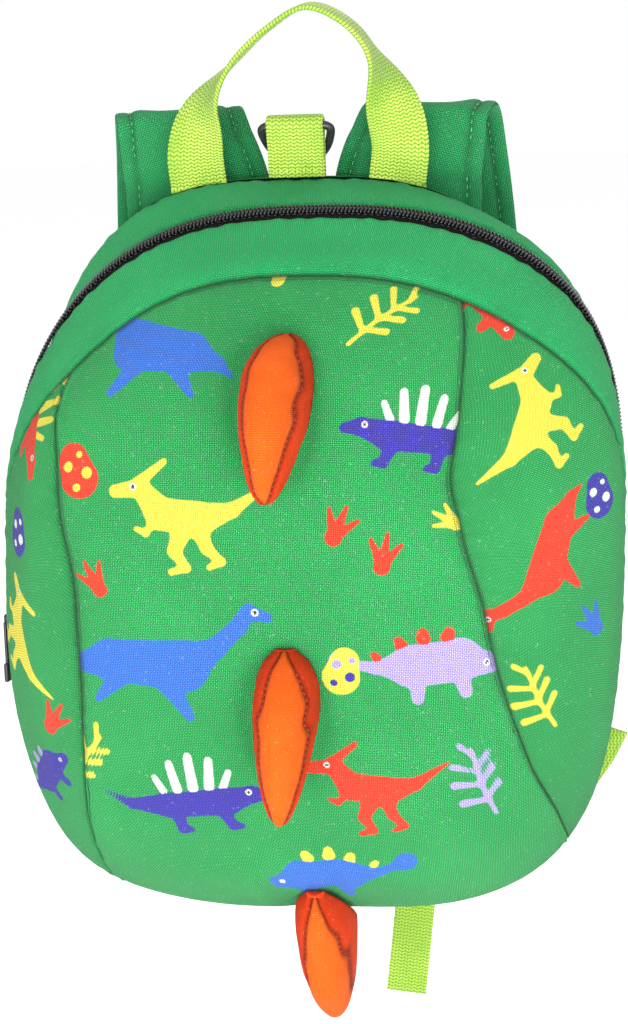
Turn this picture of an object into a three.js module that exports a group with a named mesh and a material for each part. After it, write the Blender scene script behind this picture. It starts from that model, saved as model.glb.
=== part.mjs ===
// A toddler's dinosaur backpack, upright as it hangs on the wearer's back.
// Millimetres, +Z up, +X to the right of someone who faces the print, front towards -Y.
// The origin is the middle of the back panel's flat rear face.
import * as THREE from 'three';

// Main body
const bagWidth = 214;
const bagHeight = 248;
const bagDepth = 96;
const widestHeight = 14;
const cloth = 2;
const seamGap = 0.3;
const slantGap = 0.3;
const backPad = 5;
const backBevel = 3;
const sideSway = 10;
const baseSag = 3.5;

// Bands and seams, measured over the cloth from the back seam forwards
const gussetWidth = 31;
const zipTapeWidth = 10;
const zipTape = 1.2;
const coilWidth = 6;
const coilHeight = 1.5;
const rimWidth = 30;
const rimTailWidth = 1.5;
const rimNarrowing = { from: 45, to: 115 };
const lowerGussetWidth = 31;
const sidePanelWidth = 60;
const sidePanelTip = 1.5;
const zipEnd = -30;
const sliderAt = 202;

// Spikes
const spikeLength = 44;
const spikeReach = 38;
const spikeWidth = 25;
const topSpikeHeight = 84;
const middleSpikeHeight = -23;
const bottomSpikeFront = 82;

// Webbing
const webWidth = 20;
const web = 1.8;
const handleSpread = 70;
const handleHeight = 60;
const tabHeight = 22;
const ringBar = 3;
const ringWidth = 27;
const ringDrop = 17;
const ringRest = 36;
const ringPlay = 0.5;

// Shoulder straps and their adjusters
const strapWidth = 45;
const strapPad = 8;
const strapEdge = 3;
const strapCrest = 147;
const strapEnd = -45;
const strapBow = 38;
const narrowWebWidth = 15;
const narrowWeb = 1.4;
const buckleWidth = 24;
const buckleSlot = 5.2;
const buckleBar = 4;
const buckleThickness = 3;
const longTailEnd = -190;
const shortTailEnd = -112;
const anchorReach = 111;
const anchorHeight = -80;

const angleStep = 5;
const shellDepth = bagDepth - backPad - seamGap;
const seamLine = -(backPad + seamGap);
const archHeight = bagHeight / 2 - widestHeight;
const baseHeight = bagHeight / 2 + widestHeight;

// The body's outline at stations from the back seam (along 0) to the middle of the front (along 1).
// depth is a share of the shell's depth, width of half the bag's width, above and below of the
// heights over and under the widest line. The powers say how square the arch and the base are.
const bodySections = [
  { along: 0.00, depth: 0.00, width: 0.83, above: 1.00, below: 0.945, archPower: 3.0, basePower: 4.0 },
  { along: 0.10, depth: 0.13, width: 0.92, above: 0.985, below: 0.98, archPower: 2.8, basePower: 4.0 },
  { along: 0.24, depth: 0.36, width: 0.99, above: 0.935, below: 1.00, archPower: 2.5, basePower: 3.8 },
  { along: 0.34, depth: 0.53, width: 1.00, above: 0.865, below: 1.00, archPower: 2.3, basePower: 3.7 },
  { along: 0.42, depth: 0.66, width: 0.955, above: 0.80, below: 0.965, archPower: 2.2, basePower: 3.5 },
  { along: 0.56, depth: 0.84, width: 0.82, above: 0.61, below: 0.85, archPower: 2.2, basePower: 3.1 },
  { along: 0.70, depth: 0.94, width: 0.60, above: 0.43, below: 0.63, archPower: 2.1, basePower: 2.6 },
  { along: 0.85, depth: 0.985, width: 0.31, above: 0.22, below: 0.33, archPower: 2.0, basePower: 2.2 },
  { along: 1.00, depth: 1.00, width: 0.00, above: 0.00, below: 0.00, archPower: 2.0, basePower: 2.0 },
];

// The printed side panels between their upper and lower points. turn is the angle above the widest
// line, left and right the widths on the two sides in shares of sidePanelWidth: the bag was sewn uneven.
const sidePanelSections = [
  { turn: -65, left: 0.00, right: 0.00 },
  { turn: -60, left: 0.36, right: 0.00 },
  { turn: -55, left: 0.68, right: 0.00 },
  { turn: -50, left: 0.92, right: 0.50 },
  { turn: -45, left: 1.04, right: 0.92 },
  { turn: -35, left: 1.08, right: 1.16 },
  { turn: -15, left: 0.98, right: 1.24 },
  { turn: 5, left: 0.70, right: 1.20 },
  { turn: 20, left: 0.42, right: 1.05 },
  { turn: 35, left: 0.00, right: 0.66 },
  { turn: 55, left: 0.00, right: 0.00 },
];
const sidePanelEnds = {
  right: { top: 55, bottom: -55 },
  left: { top: 35, bottom: -65 },
};

// A spike from its upper end (at 0) to its lower end (at 1): shares of spikeWidth / 2 and spikeReach,
// and how far the outer edge leans towards the lower end, in shares of its own reach.
const spikeSections = [
  { at: 0.00, width: 0.30, reach: 0.10, lean: 0.00 },
  { at: 0.12, width: 0.72, reach: 0.32, lean: 0.02 },
  { at: 0.32, width: 0.98, reach: 0.62, lean: 0.08 },
  { at: 0.52, width: 1.00, reach: 0.86, lean: 0.17 },
  { at: 0.70, width: 0.90, reach: 1.00, lean: 0.28 },
  { at: 0.84, width: 0.70, reach: 0.99, lean: 0.38 },
  { at: 0.94, width: 0.48, reach: 0.80, lean: 0.44 },
  { at: 1.00, width: 0.28, reach: 0.50, lean: 0.48 },
];

// The handle's middle line from the left foot to the right one: out is a share of handleSpread from
// the bag's middle, up a share of the way from the back seam to the crown.
const handleSections = [
  { out: -0.51, up: 0.20 },
  { out: -0.46, up: 0.45 },
  { out: -0.32, up: 0.67 },
  { out: -0.12, up: 0.88 },
  { out: 0.09, up: 1.00 },
  { out: 0.29, up: 0.89 },
  { out: 0.41, up: 0.70 },
  { out: 0.48, up: 0.47 },
  { out: 0.52, up: 0.22 },
];

// The right strap's middle line: across is a share of strapWidth from the bag's middle,
// back a share of strapBow, width a share of strapWidth, pad of strapPad.
const strapSections = [
  { across: 0.82, back: 0.12, height: 100, width: 1.16, pad: 0.75 },
  { across: 0.84, back: 0.13, height: 120, width: 1.16, pad: 1.00 },
  { across: 0.91, back: 0.18, height: strapCrest - 14, width: 1.07, pad: 1.00 },
  { across: 0.98, back: 0.34, height: strapCrest - strapPad / 2, width: 1.00, pad: 0.90 },
  { across: 1.04, back: 0.58, height: strapCrest - strapPad / 2 - 1, width: 1.00, pad: 0.90 },
  { across: 1.08, back: 0.76, height: strapCrest - 20, width: 1.00, pad: 1.00 },
  { across: 1.14, back: 0.92, height: 90, width: 1.00, pad: 1.00 },
  { across: 1.16, back: 1.00, height: 42, width: 0.98, pad: 1.00 },
  { across: 1.04, back: 0.92, height: -8, width: 0.90, pad: 0.95 },
  { across: 0.86, back: 0.77, height: strapEnd + 12, width: 0.72, pad: 0.80 },
  { across: 0.84, back: 0.74, height: strapEnd, width: 0.60, pad: 0.60 },
];

const toRadians = (degrees) => degrees * Math.PI / 180;
const mix = (a, b, share) => a + (b - a) * share;

function smooth(low, high, value) {
  const t = Math.min(Math.max((value - low) / (high - low), 0), 1);
  return t * t * (3 - 2 * t);
}

// A smooth value between the rows of a table
function readTable(rows, key, column, at) {
  const last = rows.length - 1;
  let row = 0;
  while (row < last - 1 && at > rows[row + 1][key]) {
    row += 1;
  }
  const slopeAt = (index) => {
    const before = rows[Math.max(index - 1, 0)];
    const after = rows[Math.min(index + 1, last)];
    return (after[column] - before[column]) / (after[key] - before[key]);
  };
  const span = rows[row + 1][key] - rows[row][key];
  const t = (at - rows[row][key]) / span;
  const fromStart = (1 + 2 * t) * (1 - t) * (1 - t) * rows[row][column];
  const fromEnd = t * t * (3 - 2 * t) * rows[row + 1][column];
  const startSlope = t * (1 - t) * (1 - t) * span * slopeAt(row);
  const endSlope = t * t * (t - 1) * span * slopeAt(row + 1);
  return fromStart + fromEnd + startSlope + endSlope;
}

// The stuffed bag leans to the right between its back seam and its front, more at the top
function swayAt(height, depth) {
  const rise = mix(0.3, 1, smooth(-bagHeight / 4, archHeight, height));
  return sideSway * rise * smooth(0, 0.25, depth) * (1 - smooth(0.6, 0.97, depth));
}

// The base sags a little between the back seam and the front
function sagAt(height, depth) {
  return baseSag * smooth(-bagHeight / 5, -bagHeight / 2, height) * smooth(0, 0.25, depth);
}

// A point of the body's outer face: angle turns from +X over the top, in degrees
function bodyPoint(angle, along) {
  const read = (column) => readTable(bodySections, 'along', column, along);
  const sine = Math.sin(toRadians(angle));
  const cosine = Math.cos(toRadians(angle));
  const y = seamLine - shellDepth * read('depth');
  if (along >= 1) {
    return new THREE.Vector3(0, y, widestHeight);
  }
  const half = read('width') * bagWidth / 2;
  const rise = sine >= 0 ? read('above') * archHeight : read('below') * baseHeight;
  const power = sine >= 0 ? read('archPower') : read('basePower');
  const sum = Math.abs(cosine / half) ** power + Math.abs(sine / rise) ** power;
  const radius = sum ** (-1 / power);
  const height = widestHeight + radius * sine;
  const across = radius * cosine + swayAt(height, read('depth'));
  return new THREE.Vector3(across, y, height - sagAt(height, read('depth')));
}

function bodyNormal(angle, along) {
  if (along >= 0.999) {
    return new THREE.Vector3(0, -1, 0);
  }
  const turn = bodyPoint(angle + 0.5, along).sub(bodyPoint(angle - 0.5, along));
  const low = Math.max(along - 0.004, 0);
  const run = bodyPoint(angle, low + 0.008).sub(bodyPoint(angle, low));
  return run.cross(turn).normalize().negate();
}

function pushedOut(angle, along, distance) {
  return bodyPoint(angle, along).addScaledVector(bodyNormal(angle, along), distance);
}

// How far along a line of constant angle one gets by walking over the cloth
function walk(angle, from, distance) {
  const step = distance < 0 ? -0.004 : 0.004;
  let left = Math.abs(distance);
  let along = from;
  let here = bodyPoint(angle, along);
  while (left > 0) {
    const next = bodyPoint(angle, along + step);
    const length = here.distanceTo(next);
    if (length >= left) {
      return along + step * left / length;
    }
    left -= length;
    along += step;
    here = next;
  }
  return along;
}

// Seams of the body, each as a place along the line of constant angle
const zipRear = (angle) => walk(angle, 0, gussetWidth);
const zipFront = (angle) => walk(angle, 0, gussetWidth + zipTapeWidth);
const isArch = (angle) => angle >= zipEnd && angle <= 180 - zipEnd;

function frontSeam(angle) {
  const turned = angle > 270 ? angle - 360 : angle;
  if (isArch(turned)) {
    const narrowing = smooth(rimNarrowing.from, rimNarrowing.to, Math.abs(90 - turned));
    return walk(angle, 0, gussetWidth + zipTapeWidth + mix(rimWidth, rimTailWidth, narrowing));
  }
  const underneath = smooth(60, 0, Math.abs(270 - (turned < 0 ? turned + 360 : turned)));
  const atZipEnd = gussetWidth + zipTapeWidth + rimTailWidth;
  return walk(angle, 0, mix(atZipEnd, lowerGussetWidth, underneath));
}

function sidePanelAt(angle) {
  const isRight = Math.cos(toRadians(angle)) > 0;
  const side = isRight ? 'right' : 'left';
  const turned = isRight && angle > 180 ? angle - 360 : angle;
  const turn = isRight ? turned : 180 - turned;
  const ends = sidePanelEnds[side];
  return { side, turn, present: turn >= ends.bottom - 1e-6 && turn <= ends.top + 1e-6 };
}

function sidePanelEdge(angle) {
  const { side, turn } = sidePanelAt(angle);
  const share = readTable(sidePanelSections, 'turn', side, turn);
  return walk(angle, frontSeam(angle), Math.max(share * sidePanelWidth, sidePanelTip));
}

function printEdge(angle) {
  const besidePanel = sidePanelAt(angle).present;
  return besidePanel ? walk(angle, sidePanelEdge(angle), slantGap) : frontSeam(angle);
}

// A closed solid from points and triangles, turned so that its faces point out
function solidFrom(points, triangles) {
  let volume = 0;
  for (const [a, b, c] of triangles) {
    volume += points[a].dot(points[b].clone().cross(points[c]));
  }
  const index = volume > 0 ? triangles : triangles.map(([a, b, c]) => [a, c, b]);
  const geometry = new THREE.BufferGeometry();
  const numbers = points.flatMap((point) => [point.x, point.y, point.z]);
  geometry.setAttribute('position', new THREE.Float32BufferAttribute(numbers, 3));
  geometry.setIndex(index.flat());
  geometry.computeVertexNormals();
  return geometry;
}

// A solid through rings of points, closed by flat ends or joined end to end
function loft(rings, joined = false) {
  const count = rings[0].length;
  const points = rings.flat();
  const triangles = [];
  const spans = joined ? rings.length : rings.length - 1;
  for (let ring = 0; ring < spans; ring += 1) {
    const start = ring * count;
    const next = ((ring + 1) % rings.length) * count;
    for (let k = 0; k < count; k += 1) {
      const after = (k + 1) % count;
      triangles.push([start + k, start + after, next + after]);
      triangles.push([start + k, next + after, next + k]);
    }
  }
  if (!joined) {
    const lastStart = (rings.length - 1) * count;
    for (let k = 1; k < count - 1; k += 1) {
      triangles.push([0, k + 1, k]);
      triangles.push([lastStart, lastStart + k, lastStart + k + 1]);
    }
  }
  return solidFrom(points, triangles);
}

// A strip of the body's wall between two seams, over a range of angles
function bodyStrip({ from, to, start, end, across, outer, inner }) {
  const trim = seamGap / 2;
  const angles = [];
  for (let angle = start; angle <= end + 1e-6; angle += angleStep) {
    angles.push(angle);
  }
  const endTrim = 2 * seamGap * 360 / (Math.PI * bagWidth);
  const sample = (angle, index) => {
    if (index === 0) {
      return angle + endTrim;
    }
    return index === angles.length - 1 ? angle - endTrim : angle;
  };
  const rings = angles.map((angle, index) => {
    const at = sample(angle, index);
    const low = walk(at, from(at), trim);
    const high = walk(at, to(at), -trim);
    const ring = [];
    for (let k = 0; k <= across; k += 1) {
      ring.push(pushedOut(at, mix(low, high, k / across), outer));
    }
    for (let k = across; k >= 0; k -= 1) {
      ring.push(pushedOut(at, mix(low, high, k / across), inner));
    }
    return ring;
  });
  return loft(rings);
}

// The domed front, from its seam all round to the middle
function bodyCap({ edge, rows, outer, inner }) {
  const count = 360 / angleStep;
  const points = [];
  const triangles = [];
  for (const offset of [outer, inner]) {
    for (let row = 0; row < rows; row += 1) {
      for (let k = 0; k < count; k += 1) {
        const angle = -90 + k * angleStep;
        const start = walk(angle, edge(angle), seamGap / 2);
        points.push(pushedOut(angle, mix(start, 1, row / rows), offset));
      }
    }
    points.push(pushedOut(0, 1, offset));
  }
  const layer = rows * count + 1;
  const at = (side, row, k) => side * layer + (row === rows ? rows * count : row * count + k % count);
  for (let k = 0; k < count; k += 1) {
    for (let row = 0; row < rows; row += 1) {
      triangles.push([at(0, row, k), at(0, row, k + 1), at(0, row + 1, k)]);
      triangles.push([at(1, row, k), at(1, row + 1, k), at(1, row, k + 1)]);
      if (row < rows - 1) {
        triangles.push([at(0, row, k + 1), at(0, row + 1, k + 1), at(0, row + 1, k)]);
        triangles.push([at(1, row, k + 1), at(1, row + 1, k), at(1, row + 1, k + 1)]);
      }
    }
    triangles.push([at(0, 0, k), at(1, 0, k), at(1, 0, k + 1)]);
    triangles.push([at(0, 0, k), at(1, 0, k + 1), at(0, 0, k + 1)]);
  }
  return solidFrom(points, triangles);
}

// Flat webbing or padded strap along a curve; acrossAt gives the direction of its width
function strip({ curve, acrossAt, steps, sectionAt, seat }) {
  const rings = [];
  for (let step = 0; step <= steps; step += 1) {
    const t = step / steps;
    const place = curve.getPoint(t);
    const ahead = curve.getTangent(t);
    const across = acrossAt(t, ahead);
    across.addScaledVector(ahead, -across.dot(ahead)).normalize();
    const up = ahead.clone().cross(across);
    const pointAt = ([out, lift]) => place.clone().addScaledVector(across, out).addScaledVector(up, lift);
    const ring = sectionAt(t).map(pointAt);
    if (seat && (step === 0 || step === steps)) {
      ring.forEach((point) => point.setZ(seat(point, step)));
    }
    rings.push(ring);
  }
  return loft(rings);
}

const flatSection = (width, thick) => [
  [-width / 2, -thick / 2],
  [width / 2, -thick / 2],
  [width / 2, thick / 2],
  [-width / 2, thick / 2],
];

function padSection(width, pad) {
  const shoulder = width / 2 - pad * 0.7;
  return [
    [-width / 2, -strapEdge / 2],
    [-shoulder, -pad / 2],
    [shoulder, -pad / 2],
    [width / 2, -strapEdge / 2],
    [width / 2, strapEdge / 2],
    [shoulder, pad / 2],
    [-shoulder, pad / 2],
    [-width / 2, strapEdge / 2],
  ];
}

const paint = {
  green: { color: 0x34a85c, roughness: 0.85, metalness: 0 },
  strapGreen: { color: 0x2b8a4e, roughness: 0.85, metalness: 0 },
  orange: { color: 0xff8a35, roughness: 0.7, metalness: 0 },
  lime: { color: 0xb4dc45, roughness: 0.75, metalness: 0 },
  zipBlack: { color: 0x1c191b, roughness: 0.5, metalness: 0 },
  plasticBlack: { color: 0x121214, roughness: 0.35, metalness: 0 },
};

const backpack = new THREE.Group();

function add(name, geometry, finish) {
  const mesh = new THREE.Mesh(geometry, new THREE.MeshStandardMaterial(finish));
  mesh.name = name;
  backpack.add(mesh);
  return mesh;
}

// Height of the back seam over a place across the bag
function seamHeight(x) {
  const share = Math.abs(x) / (bodySections[0].width * bagWidth / 2);
  const power = bodySections[0].archPower;
  return widestHeight + archHeight * (1 - share ** power) ** (1 / power);
}

// Shell of the bag
const shell = { outer: 0, inner: -cloth };
const archRange = { start: zipEnd, end: 180 - zipEnd };
add('rear_gusset', bodyStrip({ from: () => 0, to: zipRear, ...archRange, across: 3, ...shell }), paint.green);
add(
  'zip_tape',
  bodyStrip({ from: zipRear, to: zipFront, ...archRange, across: 2, outer: 0, inner: -zipTape }),
  paint.zipBlack,
);
const coilRear = (angle) => walk(angle, 0, gussetWidth + (zipTapeWidth - coilWidth) / 2);
const coilFront = (angle) => walk(angle, 0, gussetWidth + (zipTapeWidth + coilWidth) / 2);
add(
  'zip_coil',
  bodyStrip({
    from: coilRear,
    to: coilFront,
    ...archRange,
    across: 1,
    outer: seamGap + coilHeight,
    inner: seamGap,
  }),
  paint.zipBlack,
);
add('rim_band', bodyStrip({ from: zipFront, to: frontSeam, ...archRange, across: 3, ...shell }), paint.green);
add(
  'lower_gusset',
  bodyStrip({ from: () => 0, to: frontSeam, start: 180 - zipEnd, end: 360 + zipEnd, across: 3, ...shell }),
  paint.green,
);
add('front_panel', bodyCap({ edge: printEdge, rows: 7, ...shell }), paint.green);
const sideStrip = { from: frontSeam, to: sidePanelEdge, across: 4, ...shell };
const { right, left } = sidePanelEnds;
add('side_panel_right', bodyStrip({ ...sideStrip, start: right.bottom, end: right.top }), paint.green);
const leftRange = { start: 180 - left.top, end: 180 - left.bottom };
add('side_panel_left', bodyStrip({ ...sideStrip, ...leftRange }), paint.green);

// Back panel: a thin pad with a flat rear face and a bevelled edge
function backPanel() {
  const ringAt = (y, inset) => {
    const ring = [];
    for (let angle = 0; angle < 360; angle += angleStep) {
      const point = bodyPoint(angle, 0);
      const middle = new THREE.Vector3(0, point.y, widestHeight);
      const radius = point.distanceTo(middle);
      point.lerpVectors(middle, point, 1 - inset / radius);
      ring.push(point.setY(y));
    }
    return ring;
  };
  return loft([ringAt(-backPad, 0), ringAt(-backPad / 2, 0), ringAt(0, backBevel)]);
}
add('back_panel', backPanel(), paint.green);

// Slider of the zip with its pull, parked at the closed end
function slider() {
  const body = { length: 10, height: 4 };
  const pull = { length: 16, height: 1.6 };
  const profile = new THREE.Shape([
    new THREE.Vector2(-body.length / 2, 0),
    new THREE.Vector2(body.length / 2, 0),
    new THREE.Vector2(body.length / 2, body.height - pull.height),
    new THREE.Vector2(body.length / 2 + pull.length, body.height - pull.height),
    new THREE.Vector2(body.length / 2 + pull.length, body.height),
    new THREE.Vector2(-body.length / 2, body.height),
  ]);
  const width = coilWidth + 2;
  const geometry = new THREE.ExtrudeGeometry(profile, { depth: width, bevelEnabled: false });
  return geometry.translate(0, 0, -width / 2);
}
const sliderMesh = add('zip_slider', slider(), paint.plasticBlack);
const sliderAlong = walk(sliderAt, 0, gussetWidth + zipTapeWidth / 2);
const sliderUp = bodyNormal(sliderAt, sliderAlong);
const sliderBefore = bodyPoint(sliderAt - 1, sliderAlong);
const sliderAhead = bodyPoint(sliderAt + 1, sliderAlong).sub(sliderBefore).normalize();
const sliderSide = sliderAhead.clone().cross(sliderUp).normalize();
const sliderLift = seamGap + coilHeight + 2 * seamGap;
sliderMesh.quaternion.setFromRotationMatrix(new THREE.Matrix4().makeBasis(sliderAhead, sliderUp, sliderSide));
sliderMesh.position.copy(pushedOut(sliderAt, sliderAlong, sliderLift));

// Stuffed spikes along the middle of the front
function spike(start, direction, angle) {
  const across = new THREE.Vector3(1, 0, 0);
  const outline = [-1, -0.96, -0.78, -0.42, 0, 0.42, 0.78, 0.96, 1];
  const heights = [0, 0.42, 0.74, 0.95, 1, 0.95, 0.74, 0.42, 0];
  const rings = [];
  for (let step = 0; step <= 14; step += 1) {
    const at = step / 14;
    const read = (column) => readTable(spikeSections, 'at', column, at);
    const along = walk(angle, start, direction * at * spikeLength + direction * 0.01);
    const foot = pushedOut(angle, along, seamGap + 0.2);
    const out = bodyNormal(angle, along);
    const down = across.clone().cross(out);
    const reach = read('reach') * spikeReach;
    const ring = outline.map((share, k) => {
      const lift = heights[k] * reach;
      const point = foot.clone().addScaledVector(across, share * read('width') * spikeWidth / 2);
      return point.addScaledVector(out, lift).addScaledVector(down, read('lean') * lift);
    });
    rings.push(ring);
  }
  return loft(rings);
}

// Where the middle line of the front reaches a height or a depth
function alongAt(angle, reached) {
  let along = 0.2;
  while (along < 1 && !reached(bodyPoint(angle, along))) {
    along += 0.002;
  }
  return along;
}
add('spike_top', spike(alongAt(90, (p) => p.z < topSpikeHeight), 1, 90), paint.orange);
add('spike_middle', spike(alongAt(-90, (p) => p.z > middleSpikeHeight), -1, -90), paint.orange);
add('spike_bottom', spike(alongAt(-90, (p) => p.y < -bottomSpikeFront), -1, -90), paint.orange);

// Grab handle: it faces forwards at both ends and turns a quarter to lie flat over the crown
const seatClearance = seamGap + 0.1;
const handleClearance = 3 * seamGap;
const handleLine = seamLine - web;
const handleTop = bagHeight / 2 + handleHeight - web / 2;
const handleFoot = seamHeight(handleSpread * 0.5);
const handleCurve = new THREE.CatmullRomCurve3(
  [{ out: -0.5, up: 0 }, ...handleSections, { out: 0.5, up: 0 }].map((row) => {
    return new THREE.Vector3(row.out * handleSpread, handleLine, mix(handleFoot, handleTop, row.up));
  }),
);
function handleAcross(t) {
  const turn = Math.PI * (smooth(0.06, 0.34, t) + smooth(0.66, 0.9, t)) / 2;
  return new THREE.Vector3(Math.cos(turn), -Math.sin(turn), 0);
}
add(
  'handle',
  strip({
    curve: handleCurve,
    acrossAt: handleAcross,
    steps: 44,
    sectionAt: () => flatSection(webWidth, web),
    seat: (point) => seamHeight(point.x) + handleClearance,
  }),
  paint.lime,
);

// A length of webbing folded over a bar, its two ends together at the foot
function foldedWeb({ width, thick, foot, bar, barRadius }) {
  const reach = barRadius + ringPlay + thick / 2;
  const spread = thick / 2 + 0.3;
  const side = new THREE.Vector3(1, 0, 0);
  const up = bar.clone().sub(foot);
  const length = up.length();
  up.normalize();
  const forward = side.clone().cross(up);
  const at = (out, height) => foot.clone().addScaledVector(forward, out).addScaledVector(up, height);
  const line = [at(spread, 0), at(spread, length * 0.35)];
  for (let turn = -20; turn <= 200; turn += 27.5) {
    const angle = toRadians(turn);
    line.push(at(reach * Math.cos(angle), length + reach * Math.sin(angle)));
  }
  line.push(at(-spread, length * 0.35), at(-spread, 0));
  const curve = new THREE.CatmullRomCurve3(line, false, 'centripetal');
  const section = flatSection(width, thick);
  return strip({ curve, acrossAt: () => side.clone(), steps: 28, sectionAt: () => section });
}

// Leash tab in the middle of the back seam, and the ring that swings in its fold
const ringRadius = ringBar / 2;
const tabFold = bagHeight / 2 + tabHeight - web - ringPlay - ringRadius;
const tabFoot = new THREE.Vector3(0, seamLine - web, bagHeight / 2 + seatClearance);
const ringAxis = new THREE.Vector3(0, seamLine - web, tabFold);
add(
  'leash_tab',
  foldedWeb({ width: webWidth, thick: web, foot: tabFoot, bar: ringAxis, barRadius: ringRadius }),
  paint.lime,
);

// A D of round bar: the straight side lies in the tab, the bow hangs behind it
function ring() {
  const half = (ringWidth - ringBar) / 2;
  const corner = 2;
  const line = [-1, -0.5, 0, 0.5, 1].map((share) => new THREE.Vector3(share * (half - corner), 0, 0));
  for (let turn = 0; turn <= 180; turn += 18) {
    const angle = toRadians(turn);
    line.push(new THREE.Vector3(half * Math.cos(angle), 0, -1.5 - (ringDrop - 1.5) * Math.sin(angle)));
  }
  const curve = new THREE.CatmullRomCurve3(line, true, 'centripetal');
  const rings = [];
  const steps = 40;
  for (let step = 0; step < steps; step += 1) {
    const place = curve.getPoint(step / steps);
    const ahead = curve.getTangent(step / steps);
    const outward = new THREE.Vector3(0, 1, 0).cross(ahead);
    const section = [];
    for (let turn = 0; turn < 360; turn += 45) {
      const angle = toRadians(turn);
      const point = place.clone().addScaledVector(outward, ringRadius * Math.cos(angle));
      section.push(point.add(new THREE.Vector3(0, ringRadius * Math.sin(angle), 0)));
    }
    rings.push(section);
  }
  return loft(rings, true);
}
const ringMesh = add('leash_ring', ring(), paint.plasticBlack);
ringMesh.position.copy(ringAxis);
ringMesh.rotation.x = toRadians(ringRest);

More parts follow.
